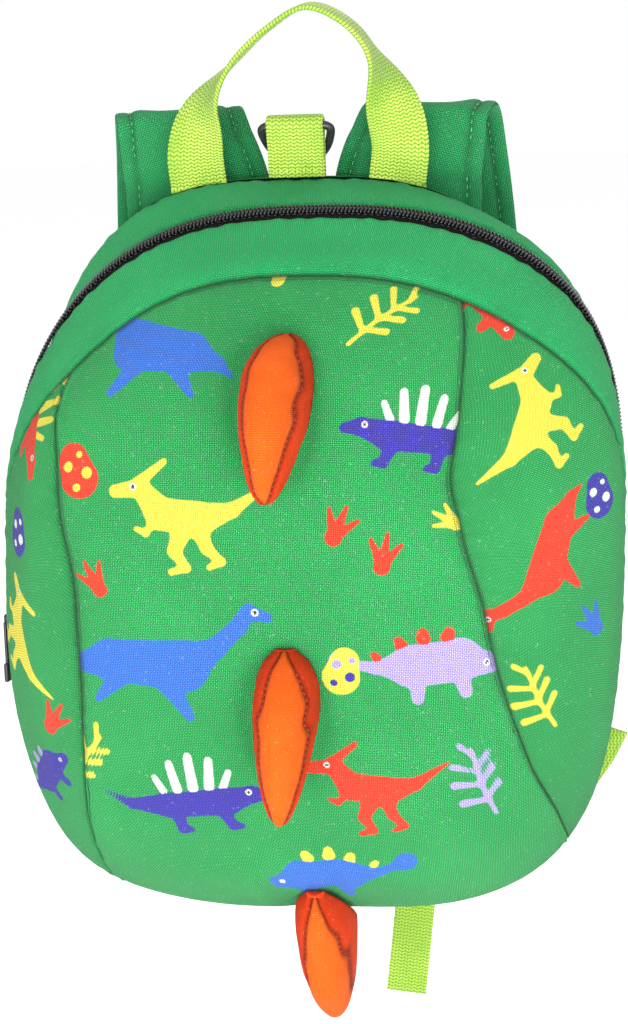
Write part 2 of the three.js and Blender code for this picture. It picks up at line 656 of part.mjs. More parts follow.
// Shoulder strap, ladder lock, adjusting webbing and its anchor on one side
function shoulderSide(sideName, side, tailEnd) {
  const place = (x, y, z) => new THREE.Vector3(side * x, y, z);
  const strapCurve = new THREE.CatmullRomCurve3(
    strapSections.map((row) => place(row.across * strapWidth, row.back * strapBow, row.height)),
    false,
    'centripetal',
  );
  const share = (t, column) => {
    const at = t * (strapSections.length - 1);
    const row = Math.min(Math.floor(at), strapSections.length - 2);
    return mix(strapSections[row][column], strapSections[row + 1][column], at - row);
  };
  add(
    `shoulder_strap_${sideName}`,
    strip({
      curve: strapCurve,
      acrossAt: () => new THREE.Vector3(1, 0, 0),
      steps: 40,
      sectionAt: (t) => padSection(share(t, 'width') * strapWidth, share(t, 'pad') * strapPad),
      seat: (point, step) => (step === 0 ? point.z : strapEnd),
    }),
    paint.strapGreen,
  );

  // The ladder lock hangs from a loop of webbing at the strap's end
  const lastRow = strapSections[strapSections.length - 1];
  const buckleX = lastRow.across * strapWidth;
  const buckleY = lastRow.back * strapBow;
  const keeperLength = 8;
  const topBar = strapEnd - keeperLength;
  const middleBar = topBar - buckleBar - buckleSlot;
  const bottomBar = middleBar - buckleBar - buckleSlot;
  add(
    `buckle_keeper_${sideName}`,
    foldedWeb({
      width: narrowWebWidth,
      thick: narrowWeb,
      foot: place(buckleX, buckleY, strapEnd - seatClearance),
      bar: place(buckleX, buckleY, topBar),
      barRadius: Math.hypot(buckleBar, buckleThickness) / 2,
    }),
    paint.lime,
  );
  const frame = new THREE.Shape();
  const halfFrame = buckleWidth / 2;
  const frameTop = topBar + buckleBar / 2;
  const frameBottom = bottomBar - buckleBar / 2;
  frame.moveTo(-halfFrame, frameTop);
  frame.lineTo(halfFrame, frameTop);
  frame.lineTo(halfFrame, frameBottom);
  frame.lineTo(-halfFrame, frameBottom);
  const halfSlot = narrowWebWidth / 2 + 1;
  for (const bar of [topBar, middleBar]) {
    const slotTop = bar - buckleBar / 2;
    const slot = new THREE.Path();
    slot.moveTo(-halfSlot, slotTop);
    slot.lineTo(-halfSlot, slotTop - buckleSlot);
    slot.lineTo(halfSlot, slotTop - buckleSlot);
    slot.lineTo(halfSlot, slotTop);
    frame.holes.push(slot);
  }
  const buckleGeometry = new THREE.ExtrudeGeometry(frame, { depth: buckleThickness, bevelEnabled: false });
  buckleGeometry.rotateX(Math.PI / 2);
  const buckle = add(`buckle_${sideName}`, buckleGeometry, paint.plasticBlack);
  buckle.position.set(side * buckleX, buckleY + buckleThickness / 2, 0);

  // Back seam where the anchor is sewn in, and the anchor's folded triangle
  const seamPoint = (angle) => {
    const point = bodyPoint(angle, 0);
    const out = point.clone().sub(new THREE.Vector3(0, point.y, widestHeight)).normalize();
    return point.addScaledVector(out, seatClearance);
  };
  const anchorOutline = [
    [anchorReach, anchorHeight],
    [anchorReach - 5, anchorHeight - 10],
    [anchorReach - 14, anchorHeight - 23],
  ];
  for (const angle of [-58, -55, -50, -45]) {
    const point = seamPoint(angle);
    anchorOutline.push([point.x, point.z]);
  }
  const anchorShape = new THREE.Shape(anchorOutline.map(([x, z]) => new THREE.Vector2(side * x, z)));
  const anchorThickness = 2.2;
  const anchorSolid = { depth: anchorThickness, bevelEnabled: false };
  const anchorGeometry = new THREE.ExtrudeGeometry(anchorShape, anchorSolid);
  anchorGeometry.rotateX(Math.PI / 2);
  const anchor = add(`anchor_${sideName}`, anchorGeometry, paint.lime);
  const anchorRear = -backPad / 2;
  anchor.position.set(0, anchorRear, 0);

  // Webbing from the anchor through the ladder lock, over its middle bar and down to the tail's end
  const slack = buckleThickness / 2 + seamGap + narrowWeb / 2 + 0.2;
  const slotHeight = middleBar + buckleBar / 2 + seamGap + narrowWeb / 2 + 0.3;
  const anchored = anchorRear + seamGap + 0.1 + narrowWeb / 2;
  const adjusterCurve = new THREE.CatmullRomCurve3(
    [
      place(anchorReach - 10, anchored, anchorHeight - 6),
      place(anchorReach - 18, anchored + 0.6, anchorHeight - 6),
      place(anchorReach - 28, anchored + 4.6, anchorHeight - 9),
      place(buckleX + 20, buckleY * 0.36, anchorHeight - 14),
      place(buckleX + 5, buckleY * 0.72, anchorHeight - 4),
      place(buckleX, buckleY - slack - 0.4, frameBottom - 2),
      place(buckleX, buckleY - slack, middleBar),
      place(buckleX, buckleY - slack + 0.1, slotHeight - 0.9),
      place(buckleX, buckleY - slack / 2, slotHeight),
      place(buckleX, buckleY + slack / 2, slotHeight),
      place(buckleX, buckleY + slack - 0.1, slotHeight - 0.9),
      place(buckleX, buckleY + slack, middleBar),
      place(buckleX, buckleY + slack + 0.4, frameBottom - 2),
      place(buckleX - 3, buckleY + 1, mix(frameBottom, tailEnd, 0.3)),
      place(buckleX - 8, buckleY - 4, mix(frameBottom, tailEnd, 0.65)),
      place(buckleX - 13, buckleY - 9, tailEnd),
    ],
    false,
    'centripetal',
  );
  const backwards = new THREE.Vector3(0, 1, 0);
  const adjusterAcross = (t, ahead) => {
    const atAnchor = backwards.clone().cross(ahead).multiplyScalar(side);
    return atAnchor.lerp(new THREE.Vector3(-side, 0, 0), smooth(0.2, 0.33, t));
  };
  add(
    `adjuster_${sideName}`,
    strip({
      curve: adjusterCurve,
      acrossAt: adjusterAcross,
      steps: 72,
      sectionAt: () => flatSection(narrowWebWidth, narrowWeb),
    }),
    paint.lime,
  );
}
shoulderSide('right', 1, longTailEnd);
shoulderSide('left', -1, shortTailEnd);

export default backpack;
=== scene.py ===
import math
import bpy
import numpy as np
from mathutils import Matrix, Vector


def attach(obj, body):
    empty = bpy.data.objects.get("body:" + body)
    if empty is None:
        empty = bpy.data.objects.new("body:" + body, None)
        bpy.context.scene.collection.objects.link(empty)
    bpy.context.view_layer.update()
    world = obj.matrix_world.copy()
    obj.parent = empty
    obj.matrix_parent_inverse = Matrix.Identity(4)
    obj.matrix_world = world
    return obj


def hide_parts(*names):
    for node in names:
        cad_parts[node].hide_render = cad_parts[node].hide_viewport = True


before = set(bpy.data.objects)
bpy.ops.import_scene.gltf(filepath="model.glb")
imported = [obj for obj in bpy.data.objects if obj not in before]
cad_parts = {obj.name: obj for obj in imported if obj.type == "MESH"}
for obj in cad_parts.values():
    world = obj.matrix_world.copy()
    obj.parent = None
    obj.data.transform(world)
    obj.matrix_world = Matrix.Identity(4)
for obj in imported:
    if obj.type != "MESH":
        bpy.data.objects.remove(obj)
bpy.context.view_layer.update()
bpy.context.scene.view_settings.view_transform = "Standard"
mm = 0.001

# Camera and light

cameraSetup = {"target": (0.006, -0.045, 0.0129), "distance": 1.0, "azimuth": 7.9, "elevation": 13.0,
               "roll": -2.45, "lens": 101.9}


def makeCamera(setup):
    data = bpy.data.cameras.new("camera")
    data.lens = setup["lens"]
    data.clip_start = 0.05
    camera = bpy.data.objects.new("camera", data)
    bpy.context.scene.collection.objects.link(camera)
    turn, rise = math.radians(setup["azimuth"]), math.radians(setup["elevation"])
    back = Vector((math.sin(turn) * math.cos(rise), -math.cos(turn) * math.cos(rise), math.sin(rise)))
    look = (-back).to_track_quat("-Z", "Y").to_matrix()
    look = look @ Matrix.Rotation(math.radians(setup["roll"]), 3, "Z")
    place = Vector(setup["target"]) + back * setup["distance"]
    camera.matrix_world = Matrix.Translation(place) @ look.to_4x4()
    bpy.context.scene.camera = camera


makeCamera(cameraSetup)

studioSetup = {"floorHeight": -0.30, "floorReach": 4, "world": 1.0}
lamps = {  # place, target, size, power, tint
    "keyLight": ((-0.55, -1.1, 1.0), (0, -0.04, 0.02), 0.9, 10.0, (1.0, 0.985, 0.96)),
    "fillLight": ((0.9, -0.9, 0.35), (0, -0.04, 0.0), 1.1, 4.5, (0.97, 0.985, 1.0)),
    "rimLight": ((0.2, 0.9, 0.9), (0, -0.02, 0.05), 0.9, 6.0, (1, 1, 1)),
    "lowLight": ((0.1, -0.8, -0.25), (0, -0.05, -0.1), 0.8, 20.0, (1, 1, 1)),
}


def areaLight(name, place, target, size, power, tint):
    data = bpy.data.lights.new(name, "AREA")
    data.size = size
    data.energy = power
    data.color = tint
    lamp = bpy.data.objects.new(name, data)
    bpy.context.scene.collection.objects.link(lamp)
    lamp.location = place
    lamp.rotation_mode = "QUATERNION"
    lamp.rotation_quaternion = (Vector(target) - Vector(place)).to_track_quat("-Z", "Y")


def makeStudio(setup):
    world = bpy.data.worlds.new("studio")
    bpy.context.scene.world = world
    world.use_nodes = True
    world.node_tree.nodes["Background"].inputs[0].default_value = (1, 1, 1, 1)
    world.node_tree.nodes["Background"].inputs[1].default_value = setup["world"]
    for name, lamp in lamps.items():
        areaLight(name, *lamp)


makeStudio(studioSetup)
print("camera and light set")

# Meshes from arrays of points in mm


def meshPiece(name, points, faces, uv=None, marks=None, smooth=True):
    # points in mm; faces an array of quads or a list of polygons; marks are one number for each point
    mesh = bpy.data.meshes.new(name)
    points = np.asarray(points, float) * mm
    if isinstance(faces, np.ndarray):
        count, size = faces.shape
        mesh.vertices.add(len(points))
        mesh.vertices.foreach_set("co", points.astype(np.float32).ravel())
        mesh.loops.add(count * size)
        mesh.loops.foreach_set("vertex_index", faces.astype(np.int32).ravel())
        mesh.polygons.add(count)
        mesh.polygons.foreach_set("loop_start", (np.arange(count) * size).astype(np.int32))
        mesh.update(calc_edges=True)
    else:
        mesh.from_pydata(points.tolist(), [], faces)
    mesh.validate()
    if uv is not None:
        layer = mesh.uv_layers.new(name="fabricMm")
        index = np.zeros(len(mesh.loops), np.int32)
        mesh.loops.foreach_get("vertex_index", index)
        layer.data.foreach_set("uv", np.asarray(uv, np.float32)[index].ravel())
    for key, values in (marks or {}).items():
        attribute = mesh.attributes.new(key, "FLOAT", "POINT")
        attribute.data.foreach_set("value", np.asarray(values, np.float32).ravel())
    if smooth:
        mesh.shade_smooth()
    piece = bpy.data.objects.new(name, mesh)
    bpy.context.scene.collection.objects.link(piece)
    return piece


def gridFaces(rows, columns, closed=False, flip=False):
    # quads between rows of points; closed joins the last column to the first
    spans = columns if closed else columns - 1
    r, c = np.meshgrid(np.arange(rows - 1), np.arange(spans), indexing="ij")
    n = (c + 1) % columns
    quads = np.stack([r * columns + c, r * columns + n, (r + 1) * columns + n, (r + 1) * columns + c], -1)
    quads = quads.reshape(-1, 4)
    return quads[:, ::-1].copy() if flip else quads


def smoothStep(low, high, value):
    t = np.clip((np.asarray(value, float) - low) / (high - low), 0, 1)
    return t * t * (3 - 2 * t)


def mix(a, b, share):
    return a + (b - a) * share


def bell(distance, width):
    return np.exp(-(distance / width) ** 2)


def unit(vectors):
    return vectors / np.maximum(np.linalg.norm(vectors, axis=-1, keepdims=True), 1e-9)


def arcLength(points):
    return np.concatenate([[0], np.cumsum(np.linalg.norm(np.diff(points, axis=0), axis=-1))])


def readLine(stops, length, line):
    # places on a line of points at distances along it
    return np.stack([np.interp(stops, length, line[:, k]) for k in range(3)], -1)


def readTable(keys, values, at):
    # smooth value between rows, with the slopes of the part's source
    keys, values = np.asarray(keys, float), np.asarray(values, float)
    last = len(keys) - 1
    at = np.asarray(at, float)
    row = np.clip(np.searchsorted(keys, at, side="left") - 1, 0, last - 1)
    before, after = np.maximum(np.arange(last + 1) - 1, 0), np.minimum(np.arange(last + 1) + 1, last)
    slopes = (values[after] - values[before]) / (keys[after] - keys[before])
    span = keys[row + 1] - keys[row]
    t = (at - keys[row]) / span
    return ((1 + 2 * t) * (1 - t) ** 2 * values[row] + t * t * (3 - 2 * t) * values[row + 1]
            + t * (1 - t) ** 2 * span * slopes[row] + t * t * (t - 1) * span * slopes[row + 1])


def waves(at, seed, lengths, powers):
    # a sum of sines with seeded phases: soft unevenness along a seam
    local = np.random.default_rng(seed)
    total = np.zeros_like(np.asarray(at, float))
    for length, power in zip(lengths, powers):
        pace = 2 * math.pi / (length * local.uniform(0.9, 1.1))
        total += power * np.sin(at * pace + local.uniform(0, 6.28))
    return total


# The bag's form in mm, with the same numbers as the part's source

bag = {"width": 214, "height": 248, "depth": 96, "widest": 14, "backPad": 5, "seamGap": 0.3, "sway": 10,
       "swayAtBase": 0.3, "swayFades": (0.6, 0.97), "sag": 3.5, "softFrom": 0.25, "gusset": 31, "zip": 10,
       "rim": 30, "rimTail": 1.5, "rimNarrowing": (45, 115), "lowerGusset": 31, "lowerSpan": 60,
       "sidePanel": 60, "zipEnd": -30}
seamLine = -(bag["backPad"] + bag["seamGap"])
shellDepth = bag["depth"] - bag["backPad"] - bag["seamGap"]
archHeight = bag["height"] / 2 - bag["widest"]
baseHeight = bag["height"] / 2 + bag["widest"]
bodyRows = {
    "along": [0.00, 0.10, 0.24, 0.34, 0.42, 0.56, 0.70, 0.85, 1.00],
    "depth": [0.00, 0.13, 0.36, 0.53, 0.66, 0.84, 0.94, 0.985, 1.00],
    "width": [0.83, 0.92, 0.99, 1.00, 0.955, 0.82, 0.60, 0.31, 0.00],
    "above": [1.00, 0.985, 0.935, 0.865, 0.80, 0.61, 0.43, 0.22, 0.00],
    "below": [0.945, 0.98, 1.00, 1.00, 0.965, 0.85, 0.63, 0.33, 0.00],
    "archPower": [3.0, 2.8, 2.5, 2.3, 2.2, 2.2, 2.1, 2.0, 2.0],
    "basePower": [4.0, 4.0, 3.8, 3.7, 3.5, 3.1, 2.6, 2.2, 2.0],
}
sideRows = {
    "turn": [-65, -60, -55, -50, -45, -35, -15, 5, 20, 35, 55],
    "left": [0.00, 0.36, 0.68, 0.92, 1.04, 1.08, 0.98, 0.70, 0.42, 0.00, 0.00],
    "right": [0.00, 0.00, 0.00, 0.50, 0.92, 1.16, 1.24, 1.20, 1.05, 0.66, 0.00],
}
sideEnds = {"right": (-55, 55), "left": (-65, 35)}
alongGrid = np.linspace(0, 1, 401)


def swayAt(height, depthShare):
    # the stuffed bag leans to the right between its back seam and its front
    rise = mix(bag["swayAtBase"], 1, smoothStep(-bag["height"] / 4, archHeight, height))
    held = smoothStep(0, bag["softFrom"], depthShare) * (1 - smoothStep(*bag["swayFades"], depthShare))
    return bag["sway"] * rise * held


def bodyPoint(angle, along):
    angle, along = np.broadcast_arrays(np.asarray(angle, float), np.clip(np.asarray(along, float), 0, 1))
    read = {key: readTable(bodyRows["along"], bodyRows[key], along) for key in bodyRows if key != "along"}
    sine, cosine = np.sin(np.radians(angle)), np.cos(np.radians(angle))
    upper = sine >= 0
    half = np.maximum(read["width"] * bag["width"] / 2, 1e-4)
    rise = np.maximum(np.where(upper, read["above"] * archHeight, read["below"] * baseHeight), 1e-4)
    power = np.where(upper, read["archPower"], read["basePower"])
    total = np.abs(cosine / half) ** power + np.abs(sine / rise) ** power
    radius = np.where(along >= 1, 0, total ** (-1 / power))
    height = bag["widest"] + radius * sine
    across = radius * cosine + swayAt(height, read["depth"])
    low = smoothStep(-bag["height"] / 5, -bag["height"] / 2, height)
    height = height - bag["sag"] * low * smoothStep(0, bag["softFrom"], read["depth"])
    return np.stack([across, seamLine - shellDepth * read["depth"], height], -1)


def bodyNormal(angle, along, halfTurn=0.5, halfRun=0.004, lastAlong=0.998):
    # from two short steps on the surface, one around it in degrees and one along it
    angle, along = np.broadcast_arrays(np.asarray(angle, float), np.asarray(along, float))
    along = np.minimum(along, lastAlong)
    turn = bodyPoint(angle + halfTurn, along) - bodyPoint(angle - halfTurn, along)
    low = np.maximum(along - halfRun, 0)
    run = bodyPoint(angle, low + 2 * halfRun) - bodyPoint(angle, low)
    return unit(-np.cross(run, turn))


def runLengths(angles):
    # length of cloth from the back seam at each step of alongGrid, one row for each angle
    points = bodyPoint(np.asarray(angles, float)[:, None], alongGrid[None, :])
    steps = np.linalg.norm(np.diff(points, axis=1), axis=-1)
    return np.concatenate([np.zeros((len(angles), 1)), np.cumsum(steps, 1)], 1)


def clothGrid(angles, distance, runs):
    # places on the bag and their normals for distances from the back seam, one row for each angle
    along = np.stack([np.interp(row, run, alongGrid) for run, row in zip(runs, distance)])
    grid = np.repeat(angles[:, None], distance.shape[1], 1)
    return grid, bodyPoint(grid, along), bodyNormal(grid, along)


def frontSeamRun(angle):
    # cloth from the back seam to the printed front at an angle
    turned = np.where(np.asarray(angle, float) > 270, np.asarray(angle, float) - 360, angle)
    arch = (turned >= bag["zipEnd"]) & (turned <= 180 - bag["zipEnd"])
    narrowing = smoothStep(*bag["rimNarrowing"], np.abs(90 - turned))
    overArch = bag["gusset"] + bag["zip"] + mix(bag["rim"], bag["rimTail"], narrowing)
    around = np.where(turned < 0, turned + 360, turned)
    underneath = 1 - smoothStep(0, bag["lowerSpan"], np.abs(270 - around))
    below = mix(bag["gusset"] + bag["zip"] + bag["rimTail"], bag["lowerGusset"], underneath)
    return np.where(arch, overArch, below)


def sidePanelWidth(angle):
    # width of the printed side panel at an angle, 0 where there is none
    angle = np.asarray(angle, float) % 360
    right = np.cos(np.radians(angle)) > 0
    turned = np.where(right & (angle > 180), angle - 360, angle)
    turn = np.where(right, turned, 180 - turned)
    width = np.zeros_like(turn)
    for side, here in (("right", right), ("left", ~right)):
        low, high = sideEnds[side]
        read = np.clip(turn, sideRows["turn"][0], sideRows["turn"][-1])
        share = readTable(sideRows["turn"], sideRows[side], read)
        inside = here & (turn >= low) & (turn <= high)
        width = np.where(inside, np.maximum(share, 0) * bag["sidePanel"], width)
    return width


def printEdgeRun(angle):
    return frontSeamRun(angle) + sidePanelWidth(angle)


# Sewn panels of the bag

seams = {"depth": 1.3, "width": 1.5, "tuck": 2.6, "pucker": 0.30, "puckerReach": 7, "cell": 1.05,
         "sideCell": 0.85, "lineShade": 0.62, "lineWidth": 0.9, "sideShade": 0.38, "shadeReach": 2.4,
         "zipCover": 1.2}
seamSteps = np.array([0, 0.001, 0.3, 0.7, 1.2, 1.8, 2.5, 3.4])  # rows of points beside a seam
openFrom = 4.4  # the first even row
meanRadius = 118  # of the bag's outline, for the count of columns
softFolds = [  # place in (x, z), length and width of the dent, its tilt, its depth
    ((66, 66), 26, 6, 62, -1.5), ((76, 40), 24, 6, 75, -1.3), ((58, 46), 20, 5, 48, 1.0),
    ((84, 6), 22, 7, 95, -0.9), ((-72, 62), 22, 7, -50, -1.0), ((-60, -70), 24, 7, 35, -1.1),
    ((62, -76), 26, 7, -35, -1.2), ((30, -60), 20, 9, 80, -0.7), ((-30, 20), 24, 12, 20, 0.6),
    ((24, 78), 18, 6, 15, -0.7), ((0, 44), 20, 8, 90, -0.6), ((-20, -98), 30, 6, 5, -1.0),
    ((40, -100), 26, 6, -8, -1.1),
]
spikeFeet = [(0, 60, 13, 26), (0, -45, 13, 24), (0, -104, 13, 20)]  # place in (x, z), half width, half length
softSetup = {"frontFrom": -30, "frontTo": -50, "footDent": 1.2, "footReach": 0.95, "footSpread": 0.22}


def softForm(points):
    # how far the stuffed cloth stands out from its drawn form
    x, y, z = points[..., 0], points[..., 1], points[..., 2]
    out = 0.45 * np.sin(x / 23 + 0.7) * np.sin(z / 27 - 0.4) + 0.3 * np.sin(x / 11 - z / 17 + y / 15)
    front = smoothStep(softSetup["frontFrom"], softSetup["frontTo"], y)
    for (cx, cz), length, width, tilt, depth in softFolds:
        c, s = math.cos(math.radians(tilt)), math.sin(math.radians(tilt))
        a, b = (x - cx) * c + (z - cz) * s, -(x - cx) * s + (z - cz) * c
        out = out + front * depth * np.exp(-(a / length) ** 2 - (b / width) ** 2)
    for cx, cz, halfWidth, halfLength in spikeFeet:
        reach = np.sqrt(((x - cx) / halfWidth) ** 2 + ((z - cz) / halfLength) ** 2)
        ring = bell(reach - softSetup["footReach"], softSetup["footSpread"])
        out = out - front * softSetup["footDent"] * ring
    return out


def seamDip(distance, along, seed):
    # a seam pulls the cloth in and puckers it a little
    dip = -seams["depth"] * bell(distance, seams["width"])
    ripple = waves(along, seed, (5.3, 8.1, 13.0), (0.5, 0.6, 0.5))
    ripple = ripple * np.exp(-distance / seams["puckerReach"]) * smoothStep(0, 1.5, distance)
    return dip + seams["pucker"] * ripple


def seamShadeAmount(distance):
    # painted shade: a dark line in the seam itself and a soft shadow beside it
    line = seams["lineShade"] * bell(distance, seams["lineWidth"])
    return line + seams["sideShade"] * np.exp(-distance / seams["shadeReach"])


def edgeSteps(length, cell):
    # places across a panel: close together at both edges
    count = max(int((length - 2 * openFrom) / cell), 1) + 1
    even = np.linspace(openFrom, length - openFrom, count)
    return np.sort(np.concatenate([seamSteps, even, length - seamSteps[::-1]])) / length


def panelStrip(name, start, end, fromRun, toRun, seedNumber, widest, tuckEnds=True, cell=seams["cell"]):
    # a strip of cloth between two seams, and its places on the flat front for the print
    count = int(math.radians(end - start) * meanRadius / cell)
    angles = np.linspace(start, end, count)
    runs = runLengths(angles)
    low, high = fromRun(angles), toRun(angles)
    shares = edgeSteps(widest, cell)
    distance = low[:, None] + (high - low)[:, None] * shares[None, :]
    grid, points, normal = clothGrid(angles, distance, runs)
    middle = arcLength(points[:, len(shares) // 2])
    around = np.repeat(middle[:, None], len(shares), 1)
    fromLow, fromHigh = distance - low[:, None], high[:, None] - distance
    lift = softForm(points) * smoothStep(0, 5, np.minimum(fromLow, fromHigh))
    lift = lift + seamDip(fromLow, around, seedNumber) + seamDip(fromHigh, around, seedNumber + 1)
    lift[:, 0] -= seams["tuck"]
    lift[:, -1] -= seams["tuck"]
    nearSeam = np.minimum(fromLow, fromHigh)
    if tuckEnds:
        fromEnds = np.minimum(around, middle[-1] - around)
        lift = lift + seamDip(fromEnds, distance, seedNumber + 2)
        nearSeam = np.minimum(nearSeam, fromEnds)
        lift[0] -= seams["tuck"]
        lift[-1] -= seams["tuck"]
    points = points + normal * lift[..., None]
    uv = np.stack([around, distance - low[:, None]], -1)
    faces = gridFaces(len(angles), len(shares))
    # painted shade in and beside the seams
    marks = {"paintedSeamShade": seamShadeAmount(nearSeam)}
    piece = meshPiece(name, points.reshape(-1, 3), faces, uv.reshape(-1, 2), marks)
    return piece, np.stack([part.ravel() for part in flatPlace(grid, distance, runs)], -1)


def flatPlace(grid, distance, runs):
    # cloth coordinates measured out from the middle of the front
    radius = runs[:, -1][:, None] - distance
    turn = np.radians(grid)
    return radius * np.cos(turn), radius * np.sin(turn)


def level(run):
    # a seam at one distance from the back seam all around
    return lambda angle: np.full_like(np.asarray(angle, float), run)


def setMark(piece, key, values):
    attribute = piece.data.attributes.new(key, "FLOAT", "POINT")
    attribute.data.foreach_set("value", np.asarray(values, np.float32).ravel())


archStart, archEnd = bag["zipEnd"], 180 - bag["zipEnd"]
zipRear, zipFront = bag["gusset"] + seams["zipCover"], bag["gusset"] + bag["zip"] - seams["zipCover"]
rearGusset = panelStrip("rearGusset", archStart, archEnd, level(0), level(zipRear), 31, 32)[0]
rimBand = panelStrip("rimBand", archStart, archEnd, level(zipFront), frontSeamRun, 41, 29)[0]
lowerGusset = panelStrip("lowerGusset", archEnd, 360 + bag["zipEnd"], level(0), frontSeamRun, 51, 38)[0]


def sidePanel(name, start, end, seedNumber):
    return panelStrip(name, start + 0.01, end - 0.01, frontSeamRun, printEdgeRun, seedNumber, 60, False,
                      seams["sideCell"])


sideRight, rightUv = sidePanel("sidePanelRight", *sideEnds["right"], 61)
sideLeft, leftUv = sidePanel("sidePanelLeft", 180 - sideEnds["left"][1], 180 - sideEnds["left"][0], 71)


def frontPanelPiece(name, columns=620, rowGap=1.0, lastShare=0.985):
    # rows from the seam in to the middle of the front, closed there by a fan
    angles = np.linspace(-90, 270, columns, endpoint=False)
    runs = runLengths(angles)
    edge = printEdgeRun(angles)
    total = runs[:, -1]
    longest = (total - edge).max()
    even = np.linspace(openFrom / longest, lastShare, int(longest / rowGap))
    shares = np.concatenate([seamSteps / longest, even])
    distance = edge[:, None] + (total - edge)[:, None] * shares[None, :]
    distance[:, :len(seamSteps)] = edge[:, None] + seamSteps[None, :]
    grid, points, normal = clothGrid(angles, distance, runs)
    outline = arcLength(points[:, len(seamSteps)])[:, None]
    fromEdge = distance - edge[:, None]
    lift = softForm(points) * smoothStep(0, 5, fromEdge) + seamDip(fromEdge, outline, 81)
    lift[:, 0] -= seams["tuck"]
    points = points + normal * lift[..., None]
    x, z = flatPlace(grid, distance, runs)
    rows = len(shares)
    faces = gridFaces(rows, columns, closed=True, flip=True)
    ordered = np.transpose(points, (1, 0, 2)).reshape(-1, 3)
    last = (rows - 1) * columns
    centre = ordered[last:].mean(0)
    ordered = np.vstack([ordered, centre])
    fan = [[last + (k + 1) % columns, last + k, last + columns] for k in range(columns)]
    uv = np.vstack([np.stack([x.T.ravel(), z.T.ravel()], -1), [[0, 0]]])
    # painted shade in and beside the seam
    paintedSeamShade = np.append(seamShadeAmount(fromEdge.T.ravel()), 0)
    piece = meshPiece(name, ordered, faces.tolist() + fan, uv, {"paintedSeamShade": paintedSeamShade})
    return piece, uv


frontPanel, frontUv = frontPanelPiece("frontPanel")
print("panels sewn")

# The printed design: generic prehistoric shapes, drawn as tapered strokes (x, y, radius) in mm

strokes = {
    "swimmer": [[(-32, -7, 0.5), (-26, -3, 2.5), (-14, 0, 7), (10, 1, 8.5), (20, 8, 3.4), (27, 16, 2.7),
                 (30, 21, 2.6), (36, 20, 1.7)],
                [(4, -4, 4), (13, -16, 1.5)], [(-10, -4, 3.8), (-18, -14, 1.2)]],
    "sailback": [[(-37, 6, 0.5), (-26, 1, 2), (-12, 0, 4.8), (10, 0, 5.6), (20, 2, 3.4), (26, 1, 2)],
                 [(8, -3, 2.6), (11, -10, 1.9), (14, -10.5, 1.3)],
                 [(-9, -3, 2.8), (-8, -10, 1.9), (-5, -10.5, 1.3)]],
    "sail": [[(-12, 5, 1.5), (-15, 11, 1.2)], [(-7, 6, 1.8), (-8.5, 16, 1.5)],
             [(-1, 6.4, 2), (-1, 18.5, 1.6)], [(5, 6.4, 1.9), (6.5, 16.5, 1.5)],
             [(10, 5.6, 1.5), (13, 11.5, 1.2)]],
    "crested": [[(-31, 9, 0.5), (-18, 2, 2.5), (-6, 0, 6), (6, 3, 5.4), (12, 12, 3.2), (21, 11.5, 2.2)],
                [(12, 14, 2), (3, 20, 1.1)], [(-1, -2, 4), (3, -10, 2.2), (0, -16, 1.5), (5, -17, 1.2)],
                [(-6, -2, 3.5), (-8, -10, 2), (-12, -15, 1.4), (-8, -16.5, 1.1)],
                [(7, 2, 1.6), (12, -3, 1.2), (15, -1.5, 0.9)]],
    "clubTail": [[(-34, 5, 4.1), (-33, 4.6, 4), (-29, 3, 1.7), (-22, 1, 2.2), (-10, 0, 7.6), (8, 0, 7.8),
                  (14, -2, 4.6), (19, -3.4, 3.3)],
                 [(7, -5, 3), (8, -12, 2.3)], [(-8, -5, 3), (-9, -12, 2.3)]],
    "plates": [[(-12, 8, 2.4), (-12.6, 9.4, 1.9)], [(-4, 9.6, 2.6), (-4, 11.4, 2)],
               [(4.4, 9, 2.5), (5.2, 10.6, 1.9)], [(-21, 4.6, 1.7), (-22, 5.6, 1.3)]],
    "egg": [[(0, -2.4, 7.6), (0, 4, 5.8)]],
    "spots": [[(-3, 2, 1.7), (-2.6, 2.3, 1.7)], [(3.4, -2, 2), (3.6, -1.8, 2)],
              [(-2.4, -5.6, 1.4), (-2, -5.6, 1.4)], [(2.6, 5, 1.2), (2.8, 5, 1.2)]],
    "fern": [[(-3, -16, 0.9), (0, -2, 0.9), (6, 13, 0.7)], [(-2, -9, 1), (-10, -4, 1.6)],
             [(-1, -8, 1), (6, -5, 1.5)], [(0, -2, 1), (-8, 4, 1.6)], [(1, -1, 1), (8, 2, 1.5)],
             [(2, 4, 0.9), (-4, 11, 1.4)], [(3, 5, 0.9), (10, 8, 1.3)], [(5, 10, 0.8), (3, 17, 1.2)]],
    "track": [[(0, -3, 3.6), (0, -1, 3.2)], [(-1.6, 0, 2.1), (-6.4, 7.6, 0.9)], [(0, 1, 2.2), (0, 11, 0.9)],
              [(1.6, 0, 2.1), (6.4, 7.6, 0.9)]],
}
eyeRadius, pupilRadius, inkOverlap, markReach = 1.25, 0.7, 0.4, 6.0
figureReach = (46, 32)
eyes = {"swimmer": (32, 21.2), "sailback": (19, 3), "crested": (14.6, 12.6), "clubTail": (16.5, -2.4)}
inks = {"blue": (0.045, 0.155, 0.62), "navy": (0.052, 0.034, 0.36), "lilac": (0.42, 0.34, 0.72),
        "yellow": (0.84, 0.74, 0.07), "red": (0.80, 0.045, 0.022), "white": (0.88, 0.90, 0.84),
        "dark": (0.02, 0.02, 0.02)}
